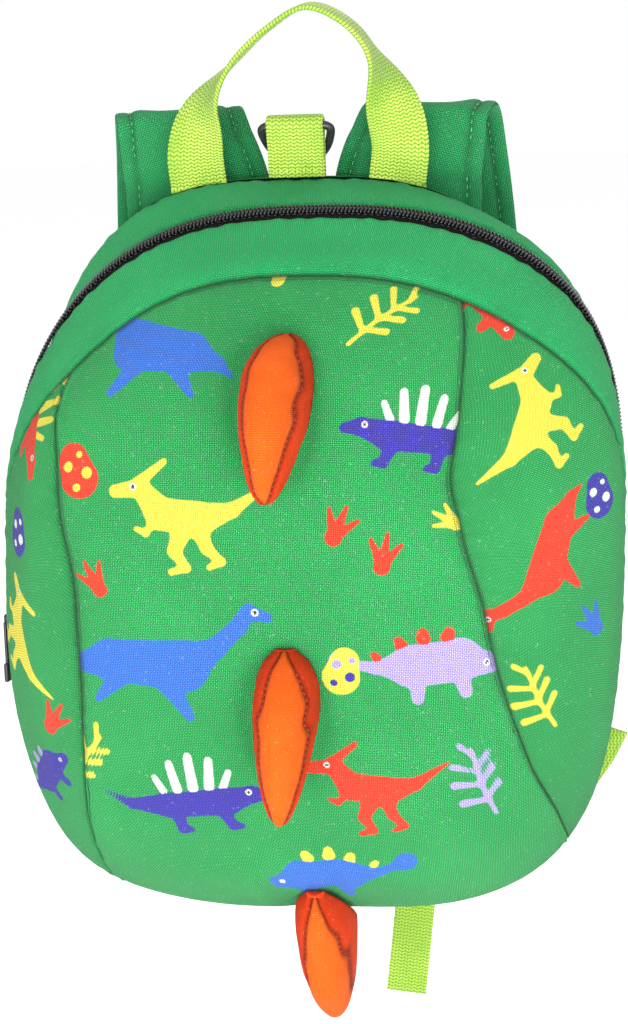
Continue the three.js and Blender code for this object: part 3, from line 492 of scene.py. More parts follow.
# Figure, its ink, a second figure and its ink where there is one, place (x, z), size, tilt, facing
frontPrint = [
    ("swimmer", "blue", (-44, 64), 0.95, -4, -1), ("fern", "yellow", (33, 78), 0.9, -30, 1),
    ("sailback", "navy", "sail", "white", (47, 34), 0.9, -8, -1),
    ("egg", "red", "spots", "yellow", (-68, 24), 0.95, 20, 1), ("crested", "yellow", (-32, 8), 1.0, 5, -1),
    ("track", "red", (20, 4), 0.8, -25, 1), ("track", "red", (35, -6), 0.8, -12, 1),
    ("clubTail", "lilac", "plates", "red", (52, -42), 0.95, 6, 1),
    ("swimmer", "blue", (-44, -42), 1.05, -6, 1),
    ("egg", "yellow", "spots", "navy", (20, -44), 0.85, -15, 1), ("crested", "red", (27, -88), 0.9, 4, -1),
    ("sailback", "navy", "sail", "white", (-32, -92), 0.95, 5, 1), ("fern", "lilac", (64, -86), 0.9, 35, 1),
    ("track", "red", (-62, -14), 0.75, 30, 1), ("fern", "yellow", (-74, -78), 0.9, -20, 1),
    ("clubTail", "blue", "plates", "yellow", (8, -122), 0.9, 2, -1),
    ("track", "yellow", (-8, 92), 0.7, 10, 1), ("track", "yellow", (58, 6), 0.62, 60, 1),
]
rightPrint = [
    ("crested", "yellow", (88, 40), 0.95, 62, 1),
    ("clubTail", "red", "plates", "lilac", (70, 84), 0.72, -48, 1),
    ("swimmer", "red", (92, -8), 0.8, 75, -1), ("egg", "navy", "spots", "white", (112, 10), 0.9, 10, 1),
    ("fern", "yellow", (84, -58), 0.85, 40, 1), ("track", "blue", (108, -38), 0.8, 30, 1),
    ("sailback", "navy", "sail", "red", (66, -92), 0.7, 40, 1),
]
leftPrint = [
    ("sailback", "red", "sail", "yellow", (-96, 40), 0.8, -70, 1),
    ("fern", "yellow", (-76, 52), 0.8, 20, 1), ("egg", "navy", "spots", "white", (-98, 0), 0.9, -10, 1),
    ("crested", "yellow", (-102, -38), 0.85, -60, -1), ("track", "red", (-84, -66), 0.8, -35, 1),
    ("clubTail", "navy", "plates", "lilac", (-92, -88), 0.7, 50, 1),
]


def strokeDistance(x, y, lines):
    # signed distance in mm to a figure of tapered strokes, softened a little where strokes join
    best = np.full(x.shape, 40.0)
    for line in lines:
        for (ax, ay, ar), (bx, by, br) in zip(line, line[1:]):
            dx, dy = bx - ax, by - ay
            t = np.clip(((x - ax) * dx + (y - ay) * dy) / max(dx * dx + dy * dy, 1e-9), 0, 1)
            far = np.hypot(x - ax - dx * t, y - ay - dy * t) - mix(ar, br, t)
            soft = np.clip(0.5 - (far - best) / 2.4, 0, 1)
            best = mix(best, far, soft) - 1.2 * soft * (1 - soft)
    return best


def printOn(piece, uv, design):
    # one distance for each ink at every point of the cloth
    marks = {ink: np.full(len(uv), markReach) for ink in inks}
    for figure, ink, *over, (cx, cz), size, tilt, facing in design:
        second, secondInk = over or (None, None)
        c, s = math.cos(math.radians(tilt)), math.sin(math.radians(tilt))
        px, pz = uv[:, 0] - cx, uv[:, 1] - cz
        x, y = facing * (px * c + pz * s) / size, (-px * s + pz * c) / size
        near = (np.abs(x) < figureReach[0]) & (np.abs(y) < figureReach[1])
        if not near.any():
            continue
        nx, ny = x[near], y[near]

        def lay(name, distance):
            marks[name][near] = np.minimum(marks[name][near], distance * size)

        body = strokeDistance(nx, ny, strokes[figure])
        if second:
            added = strokeDistance(nx, ny, strokes[second])
            lay(secondInk, added if second == "spots" else np.maximum(added, -body - inkOverlap))
        if second == "spots":
            body = np.maximum(body, -added)
        lay(ink, body)
        if figure in eyes:
            ex, ey = eyes[figure]
            lay("white", np.hypot(nx - ex, ny - ey) - eyeRadius)
            lay("dark", np.hypot(nx - ex, ny - ey) - pupilRadius)
    for ink, values in marks.items():
        setMark(piece, "ink" + ink.capitalize(), np.clip(values, -markReach, markReach))


printOn(frontPanel, frontUv, frontPrint)
printOn(sideRight, rightUv, rightPrint)
printOn(sideLeft, leftUv, leftPrint)
print("design printed")

# Materials


class Wiring:
    # short ways to add nodes to one tree
    def __init__(self, tree):
        self.tree = tree

    def put(self, socket, value):
        if isinstance(value, bpy.types.NodeSocket):
            self.tree.links.new(value, socket)
        elif value is not None:
            socket.default_value = value

    def add(self, kind, settings=None, **inputs):
        node = self.tree.nodes.new(kind)
        for key, value in (settings or {}).items():
            setattr(node, key, value)
        for key, value in inputs.items():
            numbered = key[0] == "i" and key[1:].isdigit()
            self.put(node.inputs[int(key[1:]) if numbered else key.replace("_", " ")], value)
        return node

    def math(self, operation, a, b=None, c=None):
        node = self.add("ShaderNodeMath", {"operation": operation})
        for socket, value in zip(node.inputs, (a, b, c)):
            self.put(socket, value)
        return node.outputs[0]

    def ramp(self, value, low, high, fromValue=0.0, toValue=1.0):
        node = self.add("ShaderNodeMapRange", {"interpolation_type": "SMOOTHSTEP"})
        for socket, number in zip(node.inputs, (value, low, high, fromValue, toValue)):
            self.put(socket, number)
        return node.outputs[0]

    def blend(self, share, a, b, kind="MIX"):
        node = self.add("ShaderNodeMix", {"data_type": "RGBA", "blend_type": kind})
        self.put(node.inputs[0], share)
        self.put(node.inputs[6], a)
        self.put(node.inputs[7], b)
        return node.outputs[2]

    def noise(self, place, scale, detail=2.0):
        return self.add("ShaderNodeTexNoise", None, Vector=place, Scale=scale, Detail=detail).outputs[0]

    def mark(self, name):
        return self.add("ShaderNodeAttribute", {"attribute_name": name}).outputs["Fac"]

    def clothPlace(self):
        return self.add("ShaderNodeUVMap", {"uv_map": "fabricMm"}).outputs[0]

    def solidPlace(self):
        return self.add("ShaderNodeTexCoord").outputs["Object"]


def newGroup(name, inputs, outputs):
    # inputs: name -> (socket type, default); outputs: name -> socket type
    group = bpy.data.node_groups.new(name, "ShaderNodeTree")
    for key, (kind, value) in inputs.items():
        socket = group.interface.new_socket(name=key, in_out="INPUT", socket_type=kind)
        if value is not None:
            socket.default_value = value
    for key, kind in outputs.items():
        group.interface.new_socket(name=key, in_out="OUTPUT", socket_type=kind)
    wiring = Wiring(group)
    given = group.nodes.new("NodeGroupInput").outputs
    result = group.nodes.new("NodeGroupOutput").inputs
    return group, wiring, given, result


floatKind, colourKind, vectorKind = "NodeSocketFloat", "NodeSocketColor", "NodeSocketVector"


def makeWeaveGroup():
    # plain weave of thick threads: height and a mask of the thread tops
    group, w, given, result = newGroup(
        "plainWeave", {"Place": (vectorKind, None), "Pitch": (floatKind, 0.62)},
        {"Height": floatKind, "Thread": floatKind})
    split = w.add("ShaderNodeSeparateXYZ", None, i0=given["Place"])
    wobble = w.noise(given["Place"], 0.35, 1.0)
    shift = w.math("MULTIPLY", w.math("SUBTRACT", wobble, 0.5), 0.5)
    u = w.math("DIVIDE", w.math("ADD", split.outputs[0], shift), given["Pitch"])
    v = w.math("DIVIDE", w.math("ADD", split.outputs[1], shift), given["Pitch"])
    over = w.math("ABSOLUTE", w.math("MODULO", w.math("ADD", w.math("FLOOR", u), w.math("FLOOR", v)), 2.0))
    bumpU = w.math("ABSOLUTE", w.math("SINE", w.math("MULTIPLY", u, math.pi)))
    bumpV = w.math("ABSOLUTE", w.math("SINE", w.math("MULTIPLY", v, math.pi)))
    warp = w.math("MULTIPLY", bumpU, w.math("MULTIPLY_ADD", bumpV, 0.55, 0.45))
    weft = w.math("MULTIPLY", bumpV, w.math("MULTIPLY_ADD", bumpU, 0.35, 0.3))
    height = w.add("ShaderNodeMix", {"data_type": "FLOAT"})
    w.put(height.inputs[0], over)
    w.put(height.inputs[2], weft)
    w.put(height.inputs[3], warp)
    w.put(result["Height"], height.outputs[0])
    w.put(result["Thread"], w.ramp(height.outputs[0], 0.15, 0.85))
    return group


def makeHerringboneGroup():
    # webbing: narrow columns of slanting threads that turn at each column
    group, w, given, result = newGroup(
        "herringbone", {"Place": (vectorKind, None), "Column": (floatKind, 1.2), "Pitch": (floatKind, 1.25)},
        {"Height": floatKind, "Thread": floatKind})
    split = w.add("ShaderNodeSeparateXYZ", None, i0=given["Place"])
    across = w.math("DIVIDE", split.outputs[1], given["Column"])
    zig = w.math("PINGPONG", across, 1.0)
    run = w.math("ADD", w.math("DIVIDE", split.outputs[0], given["Pitch"]), w.math("MULTIPLY", zig, 0.55))
    slant = w.math("ABSOLUTE", w.math("SINE", w.math("MULTIPLY", run, math.pi)))
    crest = w.math("ABSOLUTE", w.math("SINE", w.math("MULTIPLY", across, math.pi)))
    height = w.math("MULTIPLY", slant, w.math("MULTIPLY_ADD", crest, 0.6, 0.4))
    w.put(result["Height"], height)
    w.put(result["Thread"], w.ramp(height, 0.12, 0.8))
    return group


def makeWearGroup():
    # soft unevenness of dye and handling: one mask for broad patches and one for fine lint
    group, w, given, result = newGroup("handling", {"Place": (vectorKind, None), "Size": (floatKind, 28.0)},
                                       {"Patches": floatKind, "Lint": floatKind})
    w.put(result["Patches"], w.ramp(w.noise(given["Place"], given["Size"], 3.0), 0.35, 0.68))
    w.put(result["Lint"], w.ramp(w.noise(given["Place"], 900.0, 2.0), 0.62, 0.78))
    return group


weaveGroup, herringboneGroup, wearGroup = makeWeaveGroup(), makeHerringboneGroup(), makeWearGroup()


def newMaterial(name, **fixed):
    material = bpy.data.materials.new(name)
    material.use_nodes = True
    shader = material.node_tree.nodes["Principled BSDF"]
    for key, value in fixed.items():
        shader.inputs[key.replace("_", " ")].default_value = value
    return material, Wiring(material.node_tree), shader


def placed(w, group, **inputs):
    node = w.tree.nodes.new("ShaderNodeGroup")
    node.node_tree = group
    for key, value in inputs.items():
        w.put(node.inputs[key], value)
    return node


def bumped(w, shader, height, distance, strength=1.0):
    bump = w.add("ShaderNodeBump", None, Strength=strength, Distance=distance, Height=height)
    w.put(shader.inputs["Normal"], bump.outputs[0])


def scaled(colour, factor):
    return tuple(min(c * factor, 1) for c in colour[:3]) + (1,)


# thread is a painted highlight on the thread tops, seam a painted shade along the seams
clothTone = {"low": 0.94, "high": 1.05, "thread": 1.16, "seam": 0.30, "lint": 0.10, "roughness": 0.08,
             "bump": 0.00030, "inkRagged": 0.28, "inkEdge": 0.18, "inkCover": 0.97}


def clothMaterial(name, look, printed=False):
    # woven cloth: painted highlight on the thread tops, painted shade in the gaps between threads and at the
    # seams, patches of handling, and the inks if printed
    material, w, shader = newMaterial(name, Roughness=look["roughness"], Sheen_Weight=look.get("sheen", 0.05),
                                      Sheen_Roughness=0.5, Specular_IOR_Level=look.get("specular", 0.15))
    place = w.clothPlace()
    weave = placed(w, weaveGroup, Place=place, Pitch=look["pitch"])
    wear = placed(w, wearGroup, Place=w.solidPlace(), Size=look.get("patch", 28.0))
    colour = look["colour"] + (1,)
    dull, bright = scaled(colour, clothTone["low"]), scaled(colour, clothTone["high"])
    base = w.blend(wear.outputs["Patches"], dull, bright)
    if printed:
        ragged = w.math("MULTIPLY", w.math("SUBTRACT", weave.outputs["Thread"], 0.5), clothTone["inkRagged"])
        for ink, inkColour in inks.items():
            edge = w.math("ADD", w.mark("ink" + ink.capitalize()), ragged)
            cover = w.ramp(edge, -clothTone["inkEdge"], clothTone["inkEdge"], clothTone["inkCover"], 0.0)
            base = w.blend(cover, base, inkColour + (1,))
    # painted light on the weave: the gaps darker as painted shade, the thread tops lighter as painted
    # highlight
    gapShade = w.blend(weave.outputs["Thread"], (look["gapShade"],) * 3 + (1,), (clothTone["thread"],) * 3 + (1,))
    base = w.blend(1.0, base, gapShade, "MULTIPLY")
    # painted shade in and beside the seams
    seamShade = w.blend(w.mark("paintedSeamShade"), (1, 1, 1, 1), (clothTone["seam"],) * 3 + (1,))
    base = w.blend(1.0, base, seamShade, "MULTIPLY")
    base = w.blend(w.math("MULTIPLY", wear.outputs["Lint"], clothTone["lint"]), base, (0.8, 0.85, 0.78, 1))
    rough, change = look["roughness"], clothTone["roughness"]
    w.put(shader.inputs["Base Color"], base)
    w.put(shader.inputs["Roughness"], w.ramp(weave.outputs["Thread"], 0, 1, rough + change, rough - change))
    bumped(w, shader, weave.outputs["Height"], clothTone["bump"])
    return material


def webbingMaterial(name, look):
    material, w, shader = newMaterial(name, Roughness=look["roughness"], Sheen_Weight=0.1,
                                      Specular_IOR_Level=0.4)
    bone = placed(w, herringboneGroup, Place=w.clothPlace(), Column=look["column"], Pitch=look["pitch"])
    wear = placed(w, wearGroup, Place=w.solidPlace(), Size=45.0)
    top = w.blend(wear.outputs["Patches"], look["top"] + (1,), look["topLight"] + (1,))
    # painted shade: the gaps between threads and columns take the darkest lime
    base = w.blend(bone.outputs["Thread"], look["gapShade"] + (1,), top)
    base = w.blend(w.math("MULTIPLY", wear.outputs["Lint"], 0.12), base, (0.9, 0.95, 0.7, 1))
    w.put(shader.inputs["Base Color"], base)
    rough = look["roughness"]
    w.put(shader.inputs["Roughness"], w.ramp(bone.outputs["Thread"], 0, 1, rough + 0.15, rough))
    bumped(w, shader, bone.outputs["Height"], look["bump"])
    return material


def plasticMaterial(name, colour, roughness, grain=260.0):
    material, w, shader = newMaterial(name, Roughness=roughness, Specular_IOR_Level=0.5)
    place = w.solidPlace()
    speck = w.noise(place, grain * 6, 3.0)
    wear = placed(w, wearGroup, Place=place, Size=grain)
    base = w.blend(wear.outputs["Patches"], colour + (1,), scaled(colour, 1.5))
    w.put(shader.inputs["Base Color"], base)
    w.put(shader.inputs["Roughness"], w.ramp(speck, 0.3, 0.7, roughness - 0.06, roughness + 0.1))
    bumped(w, shader, speck, 0.00003)
    return material


cloths = {
    "print": {"colour": (0.026, 0.315, 0.082), "gapShade": 0.30, "pitch": 0.60, "roughness": 0.86},
    "rim": {"colour": (0.017, 0.375, 0.108), "gapShade": 0.42, "pitch": 0.60, "roughness": 0.86},
    "strap": {"colour": (0.020, 0.290, 0.090), "gapShade": 0.36, "pitch": 0.60, "roughness": 0.88},
    "spikeFront": {"colour": (0.80, 0.108, 0.007), "gapShade": 0.66, "pitch": 0.42, "roughness": 0.8,
                   "patch": 60.0, "sheen": 0.0, "specular": 0.12},
    # the spikes' side faces: the same orange made deeper as painted shade
    "spikeShadedSide": {"colour": (0.68, 0.045, 0.004), "gapShade": 0.62, "pitch": 0.42, "roughness": 0.8,
                  "patch": 60.0, "sheen": 0.0, "specular": 0.12},
    "zipTape": {"colour": (0.006, 0.006, 0.007), "gapShade": 0.5, "pitch": 0.35, "roughness": 0.85, "sheen": 0.0},
}
# the darkest lime is painted shade in the webbing's gaps
lime = {"top": (0.25, 0.40, 0.030), "topLight": (0.42, 0.55, 0.07), "gapShade": (0.11, 0.25, 0.010),
        "column": 1.2, "pitch": 1.25, "roughness": 0.6, "bump": 0.0003}
printCloth = clothMaterial("printedCloth", cloths["print"], True)
rimCloth = clothMaterial("greenCloth", cloths["rim"])
strapCloth = clothMaterial("strapCloth", cloths["strap"])
spikeFrontCloth = clothMaterial("orangeRib", cloths["spikeFront"])
spikeShadedSideCloth = clothMaterial("orangeShadedSide", cloths["spikeShadedSide"])
limeWebbing = webbingMaterial("limeWebbing", lime)
zipTapeCloth = clothMaterial("zipTape", cloths["zipTape"])
coilPlastic = plasticMaterial("coilPlastic", (0.010, 0.009, 0.011), 0.30)
blackPlastic = plasticMaterial("blackPlastic", (0.012, 0.012, 0.013), 0.38)
darkThread = plasticMaterial("orangeThread", (0.17, 0.022, 0.004), 0.8)
greenThread = plasticMaterial("greenThread", (0.035, 0.30, 0.09), 0.8)
limeThread = plasticMaterial("limeThread", (0.45, 0.75, 0.06), 0.8)


def dress(piece, materials, node, body="bag"):
    # material, body, and the solid that the piece stands for if there is one
    for each in materials:
        piece.data.materials.append(each)
    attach(piece, body)
    if node:
        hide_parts(node)


for piece, cloth, node, slotName in (
        (frontPanel, printCloth, "front_panel", "printed_cloth"),
        (sideRight, printCloth, "side_panel_right", "printed_cloth"),
        (sideLeft, printCloth, "side_panel_left", "printed_cloth"),
        (rearGusset, rimCloth, "rear_gusset", "green_cloth"),
        (rimBand, rimCloth, "rim_band", "green_cloth"),
        (lowerGusset, rimCloth, "lower_gusset", "green_cloth")):
    dress(piece, [cloth], node)
print("cloth dressed")

# Webbing swept along curves: handle and leash tab


def curvePoints(control, at):
    # centripetal Catmull-Rom through the control points, at shares of their count
    control = np.asarray(control, float)
    last = len(control) - 1
    padded = np.vstack([2 * control[0] - control[1], control, 2 * control[-1] - control[-2]])
    at = np.clip(np.asarray(at, float), 0, 1) * last
    row = np.minimum(at.astype(int), last - 1)
    t = (at - row)[:, None]
    p = [padded[row + k] for k in range(4)]
    gaps = [np.maximum(np.sum((p[k + 1] - p[k]) ** 2, 1) ** 0.25, 1e-4)[:, None] for k in range(3)]
    early, late = (((p[k + 1] - p[k]) / gaps[k] - (p[k + 2] - p[k]) / (gaps[k] + gaps[k + 1])
                    + (p[k + 2] - p[k + 1]) / gaps[k + 1]) * gaps[1] for k in (0, 1))
    return (p[1] * (2 * t ** 3 - 3 * t ** 2 + 1) + early * (t ** 3 - 2 * t ** 2 + t)
            + p[2] * (3 * t ** 2 - 2 * t ** 3) + late * (t ** 3 - t ** 2))


def sweepFrame(control, steps, acrossAt):
    at = np.linspace(0, 1, steps)
    line = curvePoints(control, at)
    ahead = unit(np.gradient(line, axis=0))
    across = np.array([acrossAt(t, a) for t, a in zip(at, ahead)])
    across = unit(across - ahead * np.sum(across * ahead, 1, keepdims=True))
    return at, line, ahead, across, np.cross(ahead, across)


def loftPiece(name, rings, ringUv, marks=None):
    # rings: rows of closed sections; ringUv has one more column than rings; both ends are closed
    rows, columns = rings.shape[:2]
    faces = gridFaces(rows, columns, closed=True)
    points = rings.reshape(-1, 3)
    volume = np.einsum("ij,ij->", points[faces[:, 0]], np.cross(points[faces[:, 1]], points[faces[:, 2]]))
    r, c = np.meshgrid(np.arange(rows - 1), np.arange(columns), indexing="ij")
    uv = np.stack([ringUv[r, c], ringUv[r, c + 1], ringUv[r + 1, c + 1], ringUv[r + 1, c]], 2)
    uv = uv.reshape(-1, 4, 2)
    if volume < 0:
        faces, uv = faces[:, ::-1].copy(), uv[:, ::-1].copy()
    centres = np.stack([rings[0].mean(0), rings[-1].mean(0)])
    total = rows * columns
    polygons = faces.tolist()
    loops = uv.reshape(-1, 2).tolist()
    for end, (first, centre) in enumerate(((0, total), (total - columns, total + 1))):
        forward = (end == 0) == (volume < 0)
        for k in range(columns):
            a, b = first + k, first + (k + 1) % columns
            polygons.append([a, b, centre] if forward else [b, a, centre])
            loops += [list(ringUv[0 if end == 0 else -1, k])] * 3
    piece = meshPiece(name, np.vstack([points, centres]), polygons)
    layer = piece.data.uv_layers.new(name="fabricMm")
    layer.data.foreach_set("uv", np.asarray(loops, np.float32).ravel())
    for key, values in (marks or {}).items():
        setMark(piece, key, np.append(values.ravel(), [0, 0]))
    return piece


def webSection(width, thick, count=14):
    # a flat woven band with rounded edges: offsets across and up, and a cloth coordinate across
    low, turns = np.linspace(-0.5, 0.5, count), np.linspace(-60, 60, 5)
    flat = width - thick
    top = [(q * flat, thick / 2, q * flat) for q in low]
    right = [(flat / 2 + thick / 2 * math.cos(math.radians(a)), thick / 2 * math.sin(math.radians(a)),
              flat / 2 + thick / 2 * (1 - a / 60) / 2) for a in turns[::-1]]
    bottom = [(-x, -z, -v) for x, z, v in top]
    left = [(-x, -z, -v) for x, z, v in right]
    return np.array(top + right + bottom + left)


def webPiece(name, control, acrossAt, width, thick, steps, seat=None, seedNumber=5):
    at, line, ahead, across, up = sweepFrame(control, steps, acrossAt)
    length = arcLength(line)
    section = webSection(width, thick)
    edge = np.abs(section[:, 0]) > width / 2 - thick
    ripple = webbing["picot"] * np.sin(length * 2 * math.pi / lime["pitch"])[:, None]
    ripple = ripple * (edge * np.sign(section[:, 0]))[None, :]
    cup = waves(length, seedNumber, (31, 17), (0.12, 0.08))
    cup = cup[:, None] * (1 - (2 * section[:, 0] / width) ** 2)[None, :]
    rings = (line[:, None] + across[:, None] * (section[:, 0][None, :] + ripple)[..., None]
             + up[:, None] * (section[:, 1][None, :] + cup)[..., None])
    if seat:
        for end in (0, -1):
            rings[end, :, 2] = seat(rings[end])
    cloth = np.append(section[:, 2], section[0, 2])
    uv = np.stack(np.broadcast_arrays(length[:, None], cloth[None, :] + 40), -1)
    return loftPiece(name, rings, uv)


webbing = {"width": 20, "thick": 1.8, "handleSpread": 70, "handleTop": 183.1, "tabHeight": 22,
           "barRadius": 1.5, "play": 0.5, "narrowWidth": 15, "narrowThick": 1.4, "picot": 0.10,
           "footGap": 0.4, "turnUp": (0.06, 0.34), "turnDown": (0.66, 0.9)}
handleRows = [(-0.5, 0), (-0.51, 0.20), (-0.46, 0.45), (-0.32, 0.67), (-0.12, 0.88), (0.09, 1.00),
              (0.29, 0.89), (0.41, 0.70), (0.48, 0.47), (0.52, 0.22), (0.5, 0)]
webLine = seamLine - webbing["thick"]


def seamHeight(x):
    share = np.clip(np.abs(x) / (bodyRows["width"][0] * bag["width"] / 2), 0, 1)
    return bag["widest"] + archHeight * (1 - share ** 3) ** (1 / 3)


handleFoot = float(seamHeight(webbing["handleSpread"] / 2))
handleLine = [(out * webbing["handleSpread"], webLine, mix(handleFoot, webbing["handleTop"], up))
              for out, up in handleRows]


def alongX(t, ahead):
    return np.array([1.0, 0, 0])


def handleAcross(t, ahead):
    # the webbing lies flat on the seam at its feet and turns edge on to the front at the top
    turn = math.pi * float(smoothStep(*webbing["turnUp"], t) + smoothStep(*webbing["turnDown"], t)) / 2
    return np.array([math.cos(turn), -math.sin(turn), 0])


handle = webPiece("handle", handleLine, handleAcross, webbing["width"], webbing["thick"], 260,
                  lambda ring: seamHeight(ring[:, 0]) + webbing["footGap"])
dress(handle, [limeWebbing], "handle")


def foldedLine(foot, bar, barRadius, thick):
    # webbing folded over a bar, both ends together at the foot
    reach, spread = barRadius + webbing["play"] + thick / 2, thick / 2 + 0.3
    foot, bar = np.array(foot, float), np.array(bar, float)
    up = unit(bar - foot)
    length = np.linalg.norm(bar - foot)
    forward = np.cross([1, 0, 0], up)
    line = [foot + forward * spread, foot + forward * spread + up * length * 0.35]
    for turn in np.arange(-20, 201, 27.5):
        c, s = math.cos(math.radians(turn)), math.sin(math.radians(turn))
        line.append(foot + forward * reach * c + up * (length + reach * s))
    return line + [foot - forward * spread + up * length * 0.35, foot - forward * spread]


tabFold = bag["height"] / 2 + webbing["tabHeight"] - webbing["thick"] - webbing["play"] - webbing["barRadius"]
tabFoot = bag["height"] / 2 + webbing["footGap"]
tabLine = foldedLine((0, webLine, tabFoot), (0, webLine, tabFold), webbing["barRadius"], webbing["thick"])
leashTab = webPiece("leashTab", tabLine, alongX, webbing["width"], webbing["thick"], 110)
dress(leashTab, [limeWebbing], "leash_tab")

# Shoulder straps

strap = {"width": 45, "pad": 8, "edge": 3, "end": -45, "bow": 38, "seamInset": 5.2, "seamDepth": 0.9,
         "seamWidth": 1.1, "padRise": 1.9, "rounding": 1.5, "thinnest": 0.25, "endPinch": 0.8,
         "creases": (22, 52, 63, 118), "creaseDepth": 0.8, "creaseWidth": 3.5, "faceUv": 90}
# Share of the width outward, share of the bow back, height in mm, share of the width, share of the pad
strapRows = [(0.82, 0.12, 100, 1.16, 0.75), (0.84, 0.13, 120, 1.16, 1), (0.91, 0.18, 133, 1.07, 1),
             (0.98, 0.34, 143, 1, 0.9), (1.04, 0.58, 142, 1, 0.9), (1.08, 0.76, 127, 1, 1),
             (1.14, 0.92, 90, 1, 1), (1.16, 1, 42, 0.98, 1), (1.04, 0.92, -8, 0.90, 0.95),
             (0.86, 0.77, -33, 0.72, 0.80), (0.84, 0.74, -45, 0.60, 0.60)]
stitchSets = {key: [] for key in ("strap", "back", "spike", "zip", "tab")}


def strapPiece(name, side, seedNumber):
    # two padded faces with a stitched groove inside each edge
    rows = np.array(strapRows)
    control = [(side * a * strap["width"], b * strap["bow"], h) for a, b, h, _, _ in strapRows]
    at, line, ahead, across, up = sweepFrame(control, 230, alongX)
    length = arcLength(line)
    place = at * (len(rows) - 1)
    width, pad = (np.interp(place, np.arange(len(rows)), rows[:, k]) * strap[key]
                  for k, key in ((3, "width"), (4, "pad")))
    q = np.sin(np.linspace(-0.5, 0.5, 37) * math.pi)
    half = width[:, None] / 2
    inset = half * (1 - np.abs(q))[None, :]
    risen = smoothStep(0, strap["seamInset"] * strap["padRise"], inset)
    crown = mix(strap["edge"] / 2, pad[:, None] / 2, risen)
    rounded = np.sqrt(np.clip(1 - (1 - np.clip(inset / strap["rounding"], 0, 1)) ** 2, 0, 1))
    groove = strap["seamDepth"] * bell(inset - strap["seamInset"], strap["seamWidth"])
    ripple = waves(length, seedNumber, (9, 14, 23), (0.22, 0.25, 0.3))
    ripple = ripple[:, None] * bell(inset - 5, 6)
    crease = sum(-1.0 * bell(length - fold, strap["creaseWidth"]) for fold in strap["creases"])
    crease = crease[:, None] * (1 - np.abs(q) ** 4)[None, :]
    thick = np.maximum(crown * rounded - groove + ripple + crease * strap["creaseDepth"], strap["thinnest"])
    thick[[0, -1]] *= strap["endPinch"]
    flat = half * q[None, :]
    middle, raised = line[:, None] + across[:, None] * flat[..., None], up[:, None] * thick[..., None]
    rings = np.concatenate([middle + raised, (middle - raised)[:, ::-1][:, 1:-1]], 1)
    rings[-1, :, 2] = strap["end"]
    full = np.concatenate([flat, flat[:, ::-1][:, 1:-1] + strap["faceUv"], flat[:, :1]], 1)
    uv = np.stack(np.broadcast_arrays(full, length[:, None]), -1)
    # painted shade along the stitched grooves
    near = np.exp(-np.abs(inset - strap["seamInset"]) / 0.9)
    marks = np.concatenate([near, near[:, ::-1][:, 1:-1]], 1)
    piece = loftPiece(name, rings, uv, {"paintedSeamShade": marks * 0.8})
    for face in (1, -1):
        for edge in (1, -1):
            shift = (width / 2 - strap["seamInset"]) * edge
            lift = mix(strap["edge"] / 2, pad / 2, float(smoothStep(0, strap["padRise"], 1.0)))
            lift = lift - strap["seamDepth"] + 0.05
            stitchLine = line + across * shift[:, None] + up * (face * lift)[:, None]
            stitchSets["strap"].append((stitchLine[6:-8], up[6:-8] * face))
    return piece


for sideName, side in (("Right", 1), ("Left", -1)):
    piece = strapPiece("shoulderStrap" + sideName, side, 90 + side)
    dress(piece, [strapCloth], "shoulder_strap_" + sideName.lower())
print("handle, tab and straps made")

# Stuffed spikes

spike = {"length": 44, "reach": 38, "width": 25, "grooveDepth": 0.75, "grooveWidth": 0.8, "dent": 0.5,
         "footLift": 0.4, "roundness": 0.86}
# Shares along the foot: width, reach out of the bag, lean down, half width of the front face and its turn
spikeRows = {
    "at": [0.00, 0.12, 0.32, 0.52, 0.70, 0.84, 0.94, 1.00],
    "width": [0.30, 0.72, 0.98, 1.00, 0.90, 0.70, 0.48, 0.28],
    "reach": [0.10, 0.32, 0.62, 0.86, 1.00, 0.99, 0.80, 0.50],
    "lean": [0.00, 0.02, 0.08, 0.17, 0.28, 0.38, 0.44, 0.48],
    "front": [0.30, 0.56, 0.70, 0.72, 0.62, 0.32, 0.07, 0.04],
    "turned": [0.00, 0.05, 0.09, 0.10, 0.09, 0.06, 0.03, 0.00],
}


def alongReached(angle, reached):
    # share of the way to the middle of the front where a place is first reached
    at = np.arange(0.2, 1, 0.002)
    points = bodyPoint(angle, at)
    return float(at[np.argmax(reached(points))])


